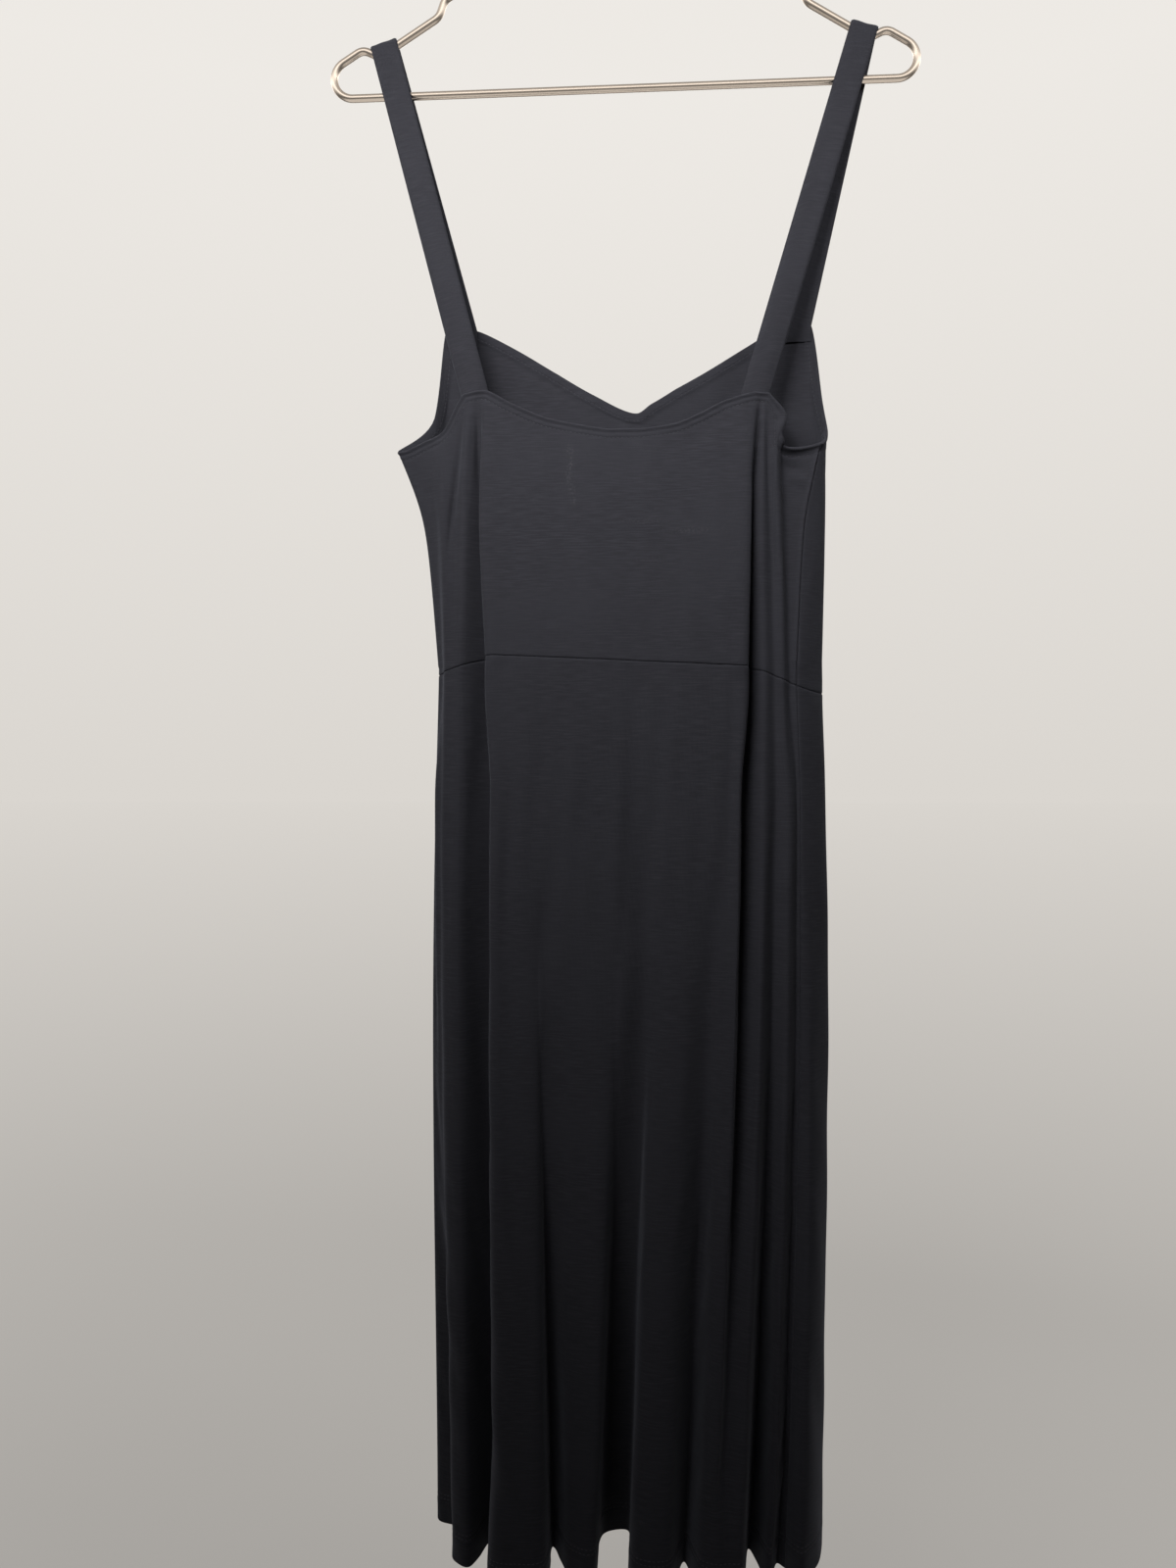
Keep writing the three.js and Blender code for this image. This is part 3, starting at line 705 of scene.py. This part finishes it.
def jersey_material(colours):
    """Fine knitted jersey: nearly black, with pale slubs along its rows, faded patches, pale marks that
    are partly a worn streak and partly painted highlight, and a knit's bump.
    """
    known = bpy.data.materials.get("black_jersey")
    if known:
        return known
    nodes = MaterialNodes("black_jersey")
    cloth = nodes.add("UVMap", uv_map="cloth").outputs["UV"]
    rows = nodes.add("Mapping", {"Vector": cloth, "Scale": (75, 1000, 1)}).outputs["Vector"]
    slub = nodes.add("TexNoise", {"Vector": rows, "Scale": 1.0, "Detail": 3.0}).outputs["Fac"]
    patches = nodes.add("TexNoise", {"Vector": cloth, "Scale": 14.0, "Detail": 4.0}).outputs["Fac"]
    threads = nodes.mix(
        nodes.ramp(slub, 0.42, 0.82), colour(colours.jersey), colour(colours.slub)
    )
    faded = nodes.mix(nodes.ramp(patches, 0.42, 0.85), threads, colour(colours.slub, 0.8))
    knit = nodes.add("Mapping", {"Vector": cloth, "Scale": (900, 900, 1)}).outputs["Vector"]
    # Pale marks from the mesh: a worn, linty streak and painted highlight along a crease, broken into
    # specks
    wear_and_highlight = nodes.add("Attribute", attribute_name="wear_and_highlight").outputs["Fac"]
    specks = nodes.ramp(nodes.add("TexNoise", {"Vector": knit, "Scale": 0.7}).outputs["Fac"], 0.45, 0.7)
    wear_and_highlight = nodes.add("Math", {0: wear_and_highlight, 1: specks}, operation="MULTIPLY").outputs[0]
    nodes.link(nodes.mix(wear_and_highlight, faded, colour(colours.lint_and_highlight)), "Base Color")
    wales = nodes.add("TexWave", {"Vector": knit, "Scale": 0.42, "Distortion": 1.2, "Detail": 2.0})
    fuzz = nodes.add("TexNoise", {"Vector": knit, "Scale": 0.55, "Detail": 3.0}).outputs["Fac"]
    height = nodes.add("Math", {0: wales.outputs["Fac"], 1: fuzz}, operation="ADD").outputs[0]
    height = nodes.add("Math", {0: height, 1: slub}, operation="ADD").outputs[0]
    bump = nodes.add("Bump", {"Strength": 0.35, "Distance": 0.0003, "Height": height})
    nodes.link(bump.outputs["Normal"], "Normal")
    rough = nodes.add("MapRange", {"Value": fuzz, "To Min": 0.78, "To Max": 0.95})
    nodes.link(rough.outputs["Result"], "Roughness")
    nodes.shader.inputs["Specular IOR Level"].default_value = 0.12
    nodes.shader.inputs["Sheen Weight"].default_value = 0.06
    nodes.shader.inputs["Sheen Roughness"].default_value = 0.45
    nodes.shader.inputs["Sheen Tint"].default_value = (0.72, 0.76, 0.9, 1)
    return nodes.material


def thread_material(colours):
    """Twisted sewing thread, a shade lighter than the jersey."""
    nodes = MaterialNodes("black_thread")
    place = nodes.add("TexCoord").outputs["Object"]
    ply = nodes.add("TexNoise", {"Vector": place, "Scale": 2600.0, "Detail": 2.0}).outputs["Fac"]
    nodes.link(nodes.mix(ply, colour(colours.jersey, 0.8), colour(colours.slub, 1.3)), "Base Color")
    bump = nodes.add("Bump", {"Strength": 0.4, "Distance": 0.0001, "Height": ply})
    nodes.link(bump.outputs["Normal"], "Normal")
    rough = nodes.add("MapRange", {"Value": ply, "To Min": 0.5, "To Max": 0.7})
    nodes.link(rough.outputs["Result"], "Roughness")
    nodes.shader.inputs["Specular IOR Level"].default_value = 0.3
    return nodes.material


def wire_material(colours):
    """Polished metal wire with a warm plating, slightly uneven and dulled in patches."""
    nodes = MaterialNodes("champagne_wire")
    place = nodes.add("TexCoord").outputs["Object"]
    waves = nodes.add("TexNoise", {"Vector": place, "Scale": 120.0, "Detail": 1.0}).outputs["Fac"]
    patches = nodes.add("TexNoise", {"Vector": place, "Scale": 38.0, "Detail": 3.0}).outputs["Fac"]
    tone = nodes.mix(patches, colour(colours.wire, 0.9), colour(colours.wire, 1.06))
    nodes.link(tone, "Base Color")
    rough = nodes.add("MapRange", {"Value": patches, "To Min": 0.14, "To Max": 0.3})
    nodes.link(rough.outputs["Result"], "Roughness")
    bump = nodes.add("Bump", {"Strength": 0.05, "Distance": 0.0002, "Height": waves})
    nodes.link(bump.outputs["Normal"], "Normal")
    nodes.shader.inputs["Metallic"].default_value = 1.0
    return nodes.material


def glowing_floor_material(colours):
    """A pale floor with a matt base under a painted glow, dim near the dress and lighter evenly into the
    distance.
    """
    nodes = MaterialNodes("pale_floor_painted_glow")
    place = nodes.add("TexCoord").outputs["Object"]
    flat = nodes.add(
        "VectorMath", {0: place, 1: (1, 1, 0), 2: (0, 0, 0.6)}, operation="MULTIPLY_ADD"
    ).outputs[0]
    away = nodes.add("VectorMath", {0: flat}, operation="LENGTH").outputs["Value"]
    away = nodes.add("Math", {0: away, 1: 0.9}, operation="ADD").outputs[0]
    near = nodes.add("Math", {0: 1.5, 1: away}, operation="DIVIDE").outputs[0]
    grain = nodes.add("TexNoise", {"Vector": place, "Scale": 3.0, "Detail": 2.0}).outputs["Fac"]
    nodes.link(nodes.mix(grain, colour(colours.floor, 0.3), colour(colours.floor, 0.32)), "Base Color")
    # Painted glow: the floor's emission stands in for light on it, dimmer near the dress and full far
    # off
    nodes.link(nodes.mix(near, colour(colours.floor), colour(colours.floor, 0.3)), "Emission Color")
    nodes.shader.inputs["Emission Strength"].default_value = 1.0
    nodes.shader.inputs["Roughness"].default_value = 0.9
    nodes.shader.inputs["Specular IOR Level"].default_value = 0.0
    return nodes.material


# Settings


def length(name, description, default):
    return FloatProperty(name=name, description=description, default=default, unit="LENGTH")


def tint(name, description, default):
    return FloatVectorProperty(
        name=name, description=description, default=default, subtype="COLOR", size=3)


class DressSizes(bpy.types.PropertyGroup):
    """Sizes of the cloth and its sewing."""

    cloth: length("Cloth", "Thickness of one layer of jersey", 0.0009)
    strap: length("Strap", "Thickness of a folded strap", 0.0019)
    turning: length("Turning", "Width of the turned top edges", 0.0066)
    hem: length("Hem", "Width of the turned hem", 0.018)
    twin: length("Twin rows", "Distance between the hem's two rows of stitches", 0.003)
    ripple: length("Ripple", "Height of the slight waves in the hanging cloth", 0.0005)
    stitch: length("Stitch", "Length of one stitch", 0.0024)
    thread: length("Thread", "Thickness of the sewing thread", 0.0005)


class DressColours(bpy.types.PropertyGroup):
    """Colours of the cloth, the wire and the stage."""

    jersey: tint("Jersey", "Colour of the cloth", (0.0235, 0.0232, 0.0275))
    slub: tint("Slubs", "Colour of the paler threads in it", (0.035, 0.035, 0.0415))
    # Colour of the pale marks: a worn, linty streak, and painted highlight along a crease
    lint_and_highlight: tint("Worn marks", "Colour of the faint worn marks", (0.085, 0.085, 0.09))
    wire: tint("Wire", "Colour of the hanger's plating", (0.78, 0.68, 0.58))
    wall: tint("Backdrop", "Colour of the backdrop above", (0.85, 0.82, 0.78))
    # The floor's colour, which also tints its painted glow and the lower backdrop
    floor: tint("Floor", "Colour of the floor", (0.70, 0.67, 0.63))


class StageSettings(bpy.types.PropertyGroup):
    """The camera, the lights and the floor."""

    camera_place: FloatVectorProperty(
        name="Camera", description="Where the camera stands", default=(0.0298, -0.8378, -0.7096),
        subtype="TRANSLATION", size=3)
    camera_turn: FloatProperty(
        name="Turn", description="How far the camera turns to the left",
        default=math.radians(3.65), subtype="ANGLE")
    lens: FloatProperty(
        name="Lens", description="Focal length in millimetres on a 36 mm frame", default=27.045)
    key: FloatProperty(
        name="Key light", description="Power of the light above", default=2.6, unit="POWER")
    fill: FloatProperty(name="Fill", description="Strength of the light all round", default=0.022)
    shine: FloatProperty(
        name="Shine", description="Brightness of what the wire reflects", default=1.0)
    floor_drop: length("Floor", "How far the floor is below the hem", 0.4)


# Operators


class DRESS_OT_bodice(bpy.types.Operator):
    """Make the back and the front of the bodice, with turned edges"""

    bl_idname = "dress.bodice"
    bl_label = "Bodice"

    def execute(self, context):
        sizes = context.scene.dress_sizes
        material = jersey_material(context.scene.dress_colours)
        half = sizes.cloth / MM / 2
        turning = sizes.turning / MM
        for row in BODICE:
            panel = Panel(row)
            low, high = waist_height(panel.u) + 0.1, top_height(panel.u)
            panel.lay(low, high, SEAM_STEPS, EDGE_STEPS, BODICE_MIDDLE_ROWS)
            panel.pull()
            edge = panel.edge = distance_to(panel.points, panel.points[-1])
            seam = np.minimum(panel.low, panel.side)
            panel.drape(sizes.ripple / MM, np.minimum(seam, edge))
            lip = np.exp(-(((panel.u - LIP_PLACE) / LIP_WIDTH) ** 2))[None]
            outside = half + swells(edge, EDGE_ROLL) + lip * swells(edge, LIP_ROLL)
            outside += swell(edge, turning, 0.5, -0.3) + swell(edge, turning - 1.8, 1.1, 0.15)
            outside += swells(seam, SEAM_SINK)
            beside = (panel.u < RIGHT_SEAM) * np.exp(-(((panel.u - RIGHT_SEAM) / SEAM_LIP_WIDTH) ** 2))
            outside += beside * swells(panel.side, SEAM_LIP)
            band = 1 - smooth_step(edge, turning - 0.2, turning + 0.9)
            inside = half * (1 + 1.6 * band) + swell(edge, turning - 0.8, 0.4, -0.3)
            inside += swell(seam, 0, 0.8, 0.5)
            shape = rounded(edge, EDGE_RADIUS)
            place = swell(seam, 0, 0.5, -0.15)
            panel.cloth(outside * shape + place, inside * shape - place, material)
        return {"FINISHED"}


class DRESS_OT_skirt(bpy.types.Operator):
    """Make the back and the front of the skirt, which hang in folds from the waist seam"""

    bl_idname = "dress.skirt"
    bl_label = "Skirt"

    def execute(self, context):
        sizes = context.scene.dress_sizes
        material = jersey_material(context.scene.dress_colours)
        half = sizes.cloth / MM / 2
        turned = sizes.hem / MM
        for row in SKIRT:
            panel = Panel(row)
            low, high = hem_height(panel.u), waist_height(panel.u) - 0.1
            panel.lay(low, high, HEM_STEPS, SEAM_STEPS, SKIRT_MIDDLE_ROWS)
            panel.pull()
            seam = np.minimum(panel.high, panel.side)
            panel.drape(sizes.ripple / MM, seam)
            outside = half + swells(seam, SEAM_SINK)
            for stitched in (turned, turned + sizes.twin / MM):
                outside += swell(panel.low, stitched, 0.6, -0.3)
            outside += swell(panel.low, turned + 1.5, 0.6, 0.1) + swell(panel.low, turned - 3, 3, 0.15)
            band = 1 - smooth_step(panel.low, turned + 3.4, turned + 5)
            inside = half * (1 + 1.2 * band) + swell(seam, 0, 0.8, 0.5)
            shape = rounded(panel.low, EDGE_RADIUS)
            place = swell(seam, 0, 0.5, -0.15)
            panel.cloth(outside * shape + place, inside * shape - place, material)
        return {"FINISHED"}


class DRESS_OT_straps(bpy.types.Operator):
    """Make the two folded straps, sewn inside the bodice and laid over the hanger's notches"""

    bl_idname = "dress.straps"
    bl_label = "Straps"

    def execute(self, context):
        thick = context.scene.dress_sizes.strap / MM
        material = jersey_material(context.scene.dress_colours)
        for name, side, *edges in STRAPS:
            places = [LINE_NAMES.index(line) + shift for line, shift in edges]
            points = strap_points(side, places[:2], places[2:])
            across = run_along(points, 1)
            down = run_along(points, 0)
            normals = unit_normals(points)
            if normals[0, points.shape[1] // 2, 1] > 0:
                points, across, down = points[:, ::-1], across[:, ::-1], down[:, ::-1]
                normals = unit_normals(points)
            share = np.linspace(-1, 1, points.shape[1])
            half = thick / 2 * (1 - np.abs(share) ** 5) ** 0.5
            half = half + 0.12 * np.exp(-(((np.abs(share) - 0.86) / 0.08) ** 2))
            half[[0, -1]] = 0.05
            bow = 0.4 * (1 - share**2)
            wave = ripple(31 + side, across * 2, down, 0.25)
            ends = np.ones(len(points))
            ends[:len(SEWN_ENDS)] = [row[2] for row in SEWN_ENDS]
            ends[-len(SEWN_ENDS):] = ends[len(SEWN_ENDS) - 1::-1]
            middle = points + (ends[:, None] * (bow[None] + wave))[..., None] * normals
            lift = (ends[:, None] * half[None])[..., None] * normals
            corners, faces = shell(middle + lift, middle - lift)
            flat = np.concatenate([np.stack([across, down], axis=-1).reshape(-1, 2)] * 2)
            wear_and_highlight = np.zeros(len(corners))
            piece = mesh_piece(name + "_cloth", corners, faces, material, flat, wear_and_highlight, 80)
            dress_piece(piece, name)
        return {"FINISHED"}


class DRESS_OT_stitching(bpy.types.Operator):
    """Make the rows of stitches along the turned edges of the bodice and round the hem"""

    bl_idname = "dress.stitching"
    bl_label = "Stitching"

    def execute(self, context):
        sizes = context.scene.dress_sizes
        material = thread_material(context.scene.dress_colours)
        stitch, radius = sizes.stitch / MM, sizes.thread / MM / 2
        pitch = 1.25 * stitch
        turning, hem, twin = sizes.turning / MM, sizes.hem / MM, sizes.twin / MM
        edge_rows, hem_rows = [], []
        for name in ("bodice_back", "bodice_front"):
            panel = PANELS[name]
            for outside, place in ((True, turning), (False, turning - 0.8)):
                path, out = panel.path_at(panel.edge, place, outside, from_top=True)
                edge_rows.append(stitches(path, out, pitch, stitch, radius))
        for name in ("skirt_back", "skirt_front"):
            panel = PANELS[name]
            for place in (hem, hem + twin):
                path, out = panel.path_at(panel.low, place)
                hem_rows.append(stitches(path, out, pitch, stitch, radius))
        for name, rows in (("edge_stitching", edge_rows), ("hem_stitching", hem_rows)):
            piece = mesh_piece(name, *joined(rows), material)
            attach(piece, "root")
        return {"FINISHED"}


class DRESS_OT_hanger(bpy.types.Operator):
    """Make the bent wire hanger with its notches and hook"""

    bl_idname = "dress.hanger"
    bl_label = "Hanger"

    def execute(self, context):
        material = wire_material(context.scene.dress_colours)
        loop, crest_top = hanger_loop()
        hook, radii = hook_path(crest_top)
        weld = weld_bead(crest_top)
        corners, faces = joined([
            tube(loop, WIRE_RADIUS, WIRE_SIDES, True), tube(hook, radii, WIRE_SIDES, False), weld,
        ])
        piece = mesh_piece("hanger_wire", corners, faces, material)
        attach(piece, "root")
        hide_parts(*HANGER_NODES)
        return {"FINISHED"}


class DRESS_OT_stage(bpy.types.Operator):
    """Make the floor, the backdrop, the lights and the camera"""

    bl_idname = "dress.stage"
    bl_label = "Stage"

    def execute(self, context):
        scene = context.scene
        stage, colours = scene.dress_stage, scene.dress_colours
        lowest = HEM_Z - stage.floor_drop / MM
        reach = FLOOR_REACH / MM
        corners = [(x * reach, y * reach, lowest) for x, y in ((-1, -1), (1, -1), (1, 1), (-1, 1))]
        floor = mesh_piece("floor", corners, [(0, 1, 2, 3)], glowing_floor_material(colours))
        # The floor's painted glow is seen by the camera alone and lights nothing
        floor.visible_diffuse = False
        floor.visible_glossy = False

        camera = bpy.data.cameras.new("camera")
        camera.lens = stage.lens
        camera.sensor_width = 36
        camera.clip_start = 0.01
        view = bpy.data.objects.new("camera", camera)
        view.location = stage.camera_place
        view.rotation_euler = (math.pi / 2, 0, stage.camera_turn)
        scene.collection.objects.link(view)
        scene.camera = view

        for name, place, aim, size, share, spread in LIGHTS:
            add_light(name, place, aim, size, share * stage.key, spread)
        add_backdrop(scene, stage, colours)
        scene.view_settings.view_transform = "Standard"
        return {"FINISHED"}


class DRESS_PT_sidebar(bpy.types.Panel):
    """The dress's pieces and settings"""

    bl_idname = "DRESS_PT_sidebar"
    bl_label = "Dress"
    bl_space_type = "VIEW_3D"
    bl_region_type = "UI"
    bl_category = "Dress"

    def draw(self, context):
        for operator in OPERATORS:
            self.layout.operator(operator.bl_idname)
        for name, group in SETTINGS.items():
            box = self.layout.box()
            for key in group.__annotations__:
                box.prop(getattr(context.scene, name), key)


# Helpers of the operators


def sewn_end(edges, drop, inside, columns):
    """Middle points of a strap's end on the inside of its panel, this far below the top edge."""
    u = np.linspace(*edges, columns)
    z = top_height(u) - drop
    return ring(u, z) - inside * ring_out(u, z)


def strap_points(side, back, front, columns=17):
    """Rows of a strap from its sewn end on the back, over the wire, to that on the front."""
    corners = arm_corners()
    seats = []
    for first, last, reach in (("hump", "notch_start", 0.5), ("notch_start", "notch_end", -0.5)):
        start, end = corners[first], corners[last]
        share = (start[0] - STRAP_REACH - reach * STRAP_WIDTH) / (start[0] - end[0])
        x, z = start + (end - start) * share
        seats.append(np.array([x * side, 0, z - HANGER_DROP]))
    centre = (seats[0] + seats[1]) / 2
    along = (seats[1] - seats[0]) / np.linalg.norm(seats[1] - seats[0])
    over = np.array([along[2], 0, -along[0]]) * side
    share = np.linspace(-1, 1, columns)
    across = STRAP_WIDTH / 2 * share
    sag = STRAP_SAG * (1 - share**2)
    turns = []
    for turn in np.linspace(0, math.pi, STRAP_TURN_ROWS):
        around = over * math.sin(turn) - np.array([0, math.cos(turn), 0])
        spot = centre + (WIRE_RADIUS + STRAP_LIFT) * around
        turns.append(spot + across[:, None] * along - sag[:, None] * math.sin(turn) * over)
    ends = []
    for edges in (back, front):
        ends.append([sewn_end(edges, drop, inside, columns) for drop, inside, _ in SEWN_ENDS])
    straight = np.linspace(0, 1, STRAP_ROWS + 2)[1:-1]
    up = [ends[0][-1] + (turns[0] - ends[0][-1]) * share for share in straight]
    down = [turns[-1] + (ends[1][-1] - turns[-1]) * share for share in straight]
    return np.array(ends[0] + up + turns + down + ends[1][::-1])


def arm_corners():
    """The corners of the right half of the hanger's centre line, above its bar, as X and Z."""
    arm = np.array([-math.cos(ARM_SLOPE), math.sin(ARM_SLOPE)])
    end_x = HANGER_WIDTH / 2 - WIRE_RADIUS - END_RADIUS
    turn = math.pi / 2 - ARM_SLOPE
    curve_end = np.array([end_x, 0]) + END_RADIUS * np.array([math.cos(turn), math.sin(turn) + 1])
    hump = curve_end + HUMP_RUN * arm
    notch_start = hump + NOTCH_DIP
    notch_end = notch_start + NOTCH_LENGTH * arm
    step = notch_end + NOTCH_STEP
    crest = step - arm * step[0] / arm[0]
    return {
        "curve_end": curve_end, "hump": hump, "notch_start": notch_start, "notch_end": notch_end,
        "step": step, "crest": crest,
    }


def bend(corner, before, after, reach, count=14):
    """Points round a corner of the wire, from a point before it to one after it."""
    start = corner + reach * (before - corner) / np.linalg.norm(before - corner)
    end = corner + reach * (after - corner) / np.linalg.norm(after - corner)
    t = np.linspace(0, 1, count)[:, None]
    return (1 - t) ** 2 * start + 2 * t * (1 - t) * corner + t**2 * end


def evenly(path, step):
    """The same path with points at equal steps."""
    run = np.concatenate([[0], np.cumsum(np.linalg.norm(np.diff(path, axis=0), axis=1))])
    places = np.linspace(0, run[-1], int(run[-1] / step) + 1)
    return np.stack([np.interp(places, run, path[:, axis]) for axis in range(path.shape[1])], axis=1)


def hanger_loop():
    """The closed centre line of the bar, ends, notches and arms, and the height of its crest."""
    c = arm_corners()
    end_x = HANGER_WIDTH / 2 - WIRE_RADIUS - END_RADIUS
    turn = np.linspace(-math.pi / 2, math.pi / 2 - ARM_SLOPE, 40)
    curve = np.stack([end_x + END_RADIUS * np.cos(turn), END_RADIUS * (1 + np.sin(turn))], axis=1)
    right = np.concatenate([
        [[0.0, 0.0]], curve,
        bend(c["hump"], c["curve_end"], c["notch_start"], HUMP_BEND),
        bend(c["notch_start"], c["hump"], c["notch_end"], HUMP_BEND),
        bend(c["notch_end"], c["notch_start"], c["step"], STEP_BEND),
        bend(c["step"], c["notch_end"], c["crest"], STEP_BEND),
    ])
    crest = bend(c["crest"], c["step"], c["step"] * np.array([-1, 1]), CREST_BEND)
    left = right[:0:-1] * np.array([-1, 1])
    path = np.concatenate([right, crest, left, [[0.0, 0.0]]])
    path = evenly(path, WIRE_STEP)[:-1]
    loop = np.stack([path[:, 0], np.zeros(len(path)), path[:, 1] - HANGER_DROP], axis=1)
    return loop, crest[:, 1].max() - HANGER_DROP + WIRE_RADIUS


def hook_path(foot):
    """The centre line of the hook, up from the crest and round the rail, and its radii."""
    centre = WIRE_RADIUS - HOOK_RADIUS
    first, last = math.radians(HOOK_FROM), math.radians(HOOK_TO)
    turn = np.linspace(first, last, 90)
    circle = np.stack([HOOK_RADIUS * np.cos(turn), centre + HOOK_RADIUS * np.sin(turn)], axis=1)
    start = circle[0]
    heading = np.array([-math.sin(first), math.cos(first)])
    corner = start - heading * start[0] / heading[0]
    shank = corner - np.array([0, np.linalg.norm(start - corner)])
    swing = bend(corner, shank, start, np.linalg.norm(start - corner), 24)
    path = evenly(np.concatenate([[[0, foot - WIRE_RADIUS]], swing[:-1], circle]), WIRE_STEP)
    way = path[-1] - path[-2]
    way /= np.linalg.norm(way)
    cap = np.array([0.35, 0.6, 0.8, 0.94, 1.0])
    path = np.concatenate([path, path[-1] + cap[:, None] * WIRE_RADIUS * way])
    radii = np.full(len(path), WIRE_RADIUS)
    radii[-len(cap):] = WIRE_RADIUS * np.sqrt(np.clip(1 - cap**2, 0.0004, 1))
    return np.stack([path[:, 0], np.zeros(len(path)), path[:, 1]], axis=1), radii


def weld_bead(crest_top):
    """The small uneven bead of metal that joins the hook to the crest."""
    rings, sides = 13, 24
    turn = np.linspace(0, math.pi, rings)[:, None]
    around = 2 * math.pi * np.arange(sides) / sides
    swollen = 1 + 0.05 * np.cos(3 * around + 1) + 0.04 * np.cos(5 * around)
    corners = np.stack([
        WELD_RADII[0] * np.sin(turn) * np.cos(around) * swollen,
        WELD_RADII[1] * np.sin(turn) * np.sin(around) * swollen,
        crest_top - WELD_SINK + WELD_RADII[2] * np.cos(turn) * np.ones(sides),
    ], axis=-1)
    number = np.arange(rings * sides).reshape(rings, sides)
    beside = np.roll(number, -1, axis=1)
    faces = np.stack([number[:-1], number[1:], beside[1:], beside[:-1]], axis=-1)
    return corners.reshape(-1, 3), faces.reshape(-1, 4)


def add_light(name, place, target, size, power, spread):
    """A square soft light, aimed at a point, that spreads over this many degrees."""
    light = bpy.data.lights.new(name, "AREA")
    light.size = size
    light.energy = power
    light.spread = math.radians(spread)
    lamp = bpy.data.objects.new(name, light)
    lamp.location = place
    lamp.rotation_euler = (Vector(target) - Vector(place)).to_track_quat("-Z", "Y").to_euler()
    lamp.visible_camera = False
    lamp.visible_glossy = False
    bpy.context.scene.collection.objects.link(lamp)


def add_backdrop(scene, stage, colours):
    """A pale backdrop, lighter above, that lights the cloth only softly."""
    world = bpy.data.worlds.new("backdrop")
    scene.world = world
    nodes = Nodes(world)
    way = nodes.add("TexCoord").outputs["Generated"]
    height = nodes.add("SeparateXYZ", {0: way}).outputs["Z"]
    rise = nodes.add("MapRange", {"Value": height, "From Max": 0.5}).outputs["Result"]
    shown = nodes.tree.nodes["Background"]
    tone = nodes.mix(rise, colour(colours.floor), colour(colours.wall))
    nodes.tree.links.new(tone, shown.inputs["Color"])

    lift = nodes.add("MapRange", {"Value": height, "From Min": -1.0}).outputs["Result"]
    room = nodes.add("ValToRGB", {"Fac": lift})
    stops = room.color_ramp.elements
    for place, bright in ROOM:
        stop = stops.new(place)
        stop.color = (bright, bright * 0.97, bright * 0.94, 1)
    stops.remove(stops[0])
    stops.remove(stops[len(stops) - 1])
    mirrored = nodes.add("Background", {"Color": room.outputs["Color"], "Strength": stage.shine})

    fill = nodes.add("Background", {"Color": (1.0, 0.98, 0.95, 1), "Strength": stage.fill})
    path = nodes.add("LightPath").outputs
    soft = nodes.add(
        "MixShader", {0: path["Is Glossy Ray"], 1: fill.outputs[0], 2: mirrored.outputs[0]})
    seen = nodes.add("MixShader", {0: path["Is Camera Ray"], 1: soft.outputs[0], 2: shown.outputs[0]})
    nodes.tree.links.new(seen.outputs[0], nodes.tree.nodes["World Output"].inputs["Surface"])


# Registration

OPERATORS = (
    DRESS_OT_hanger, DRESS_OT_bodice, DRESS_OT_skirt,
    DRESS_OT_straps, DRESS_OT_stitching, DRESS_OT_stage,
)
SETTINGS = {"dress_sizes": DressSizes, "dress_colours": DressColours, "dress_stage": StageSettings}


def register():
    for group in (*SETTINGS.values(), *OPERATORS, DRESS_PT_sidebar):
        bpy.utils.register_class(group)
    for name, group in SETTINGS.items():
        setattr(bpy.types.Scene, name, PointerProperty(type=group))


def unregister():
    for name in SETTINGS:
        delattr(bpy.types.Scene, name)
    for group in (DRESS_PT_sidebar, *reversed(OPERATORS), *SETTINGS.values()):
        bpy.utils.unregister_class(group)


def main():
    register()
    bpy.ops.dress.hanger()
    bpy.ops.dress.bodice()
    bpy.ops.dress.skirt()
    bpy.ops.dress.straps()
    bpy.ops.dress.stitching()
    bpy.ops.dress.stage()


if __name__ == "__main__":
    main()
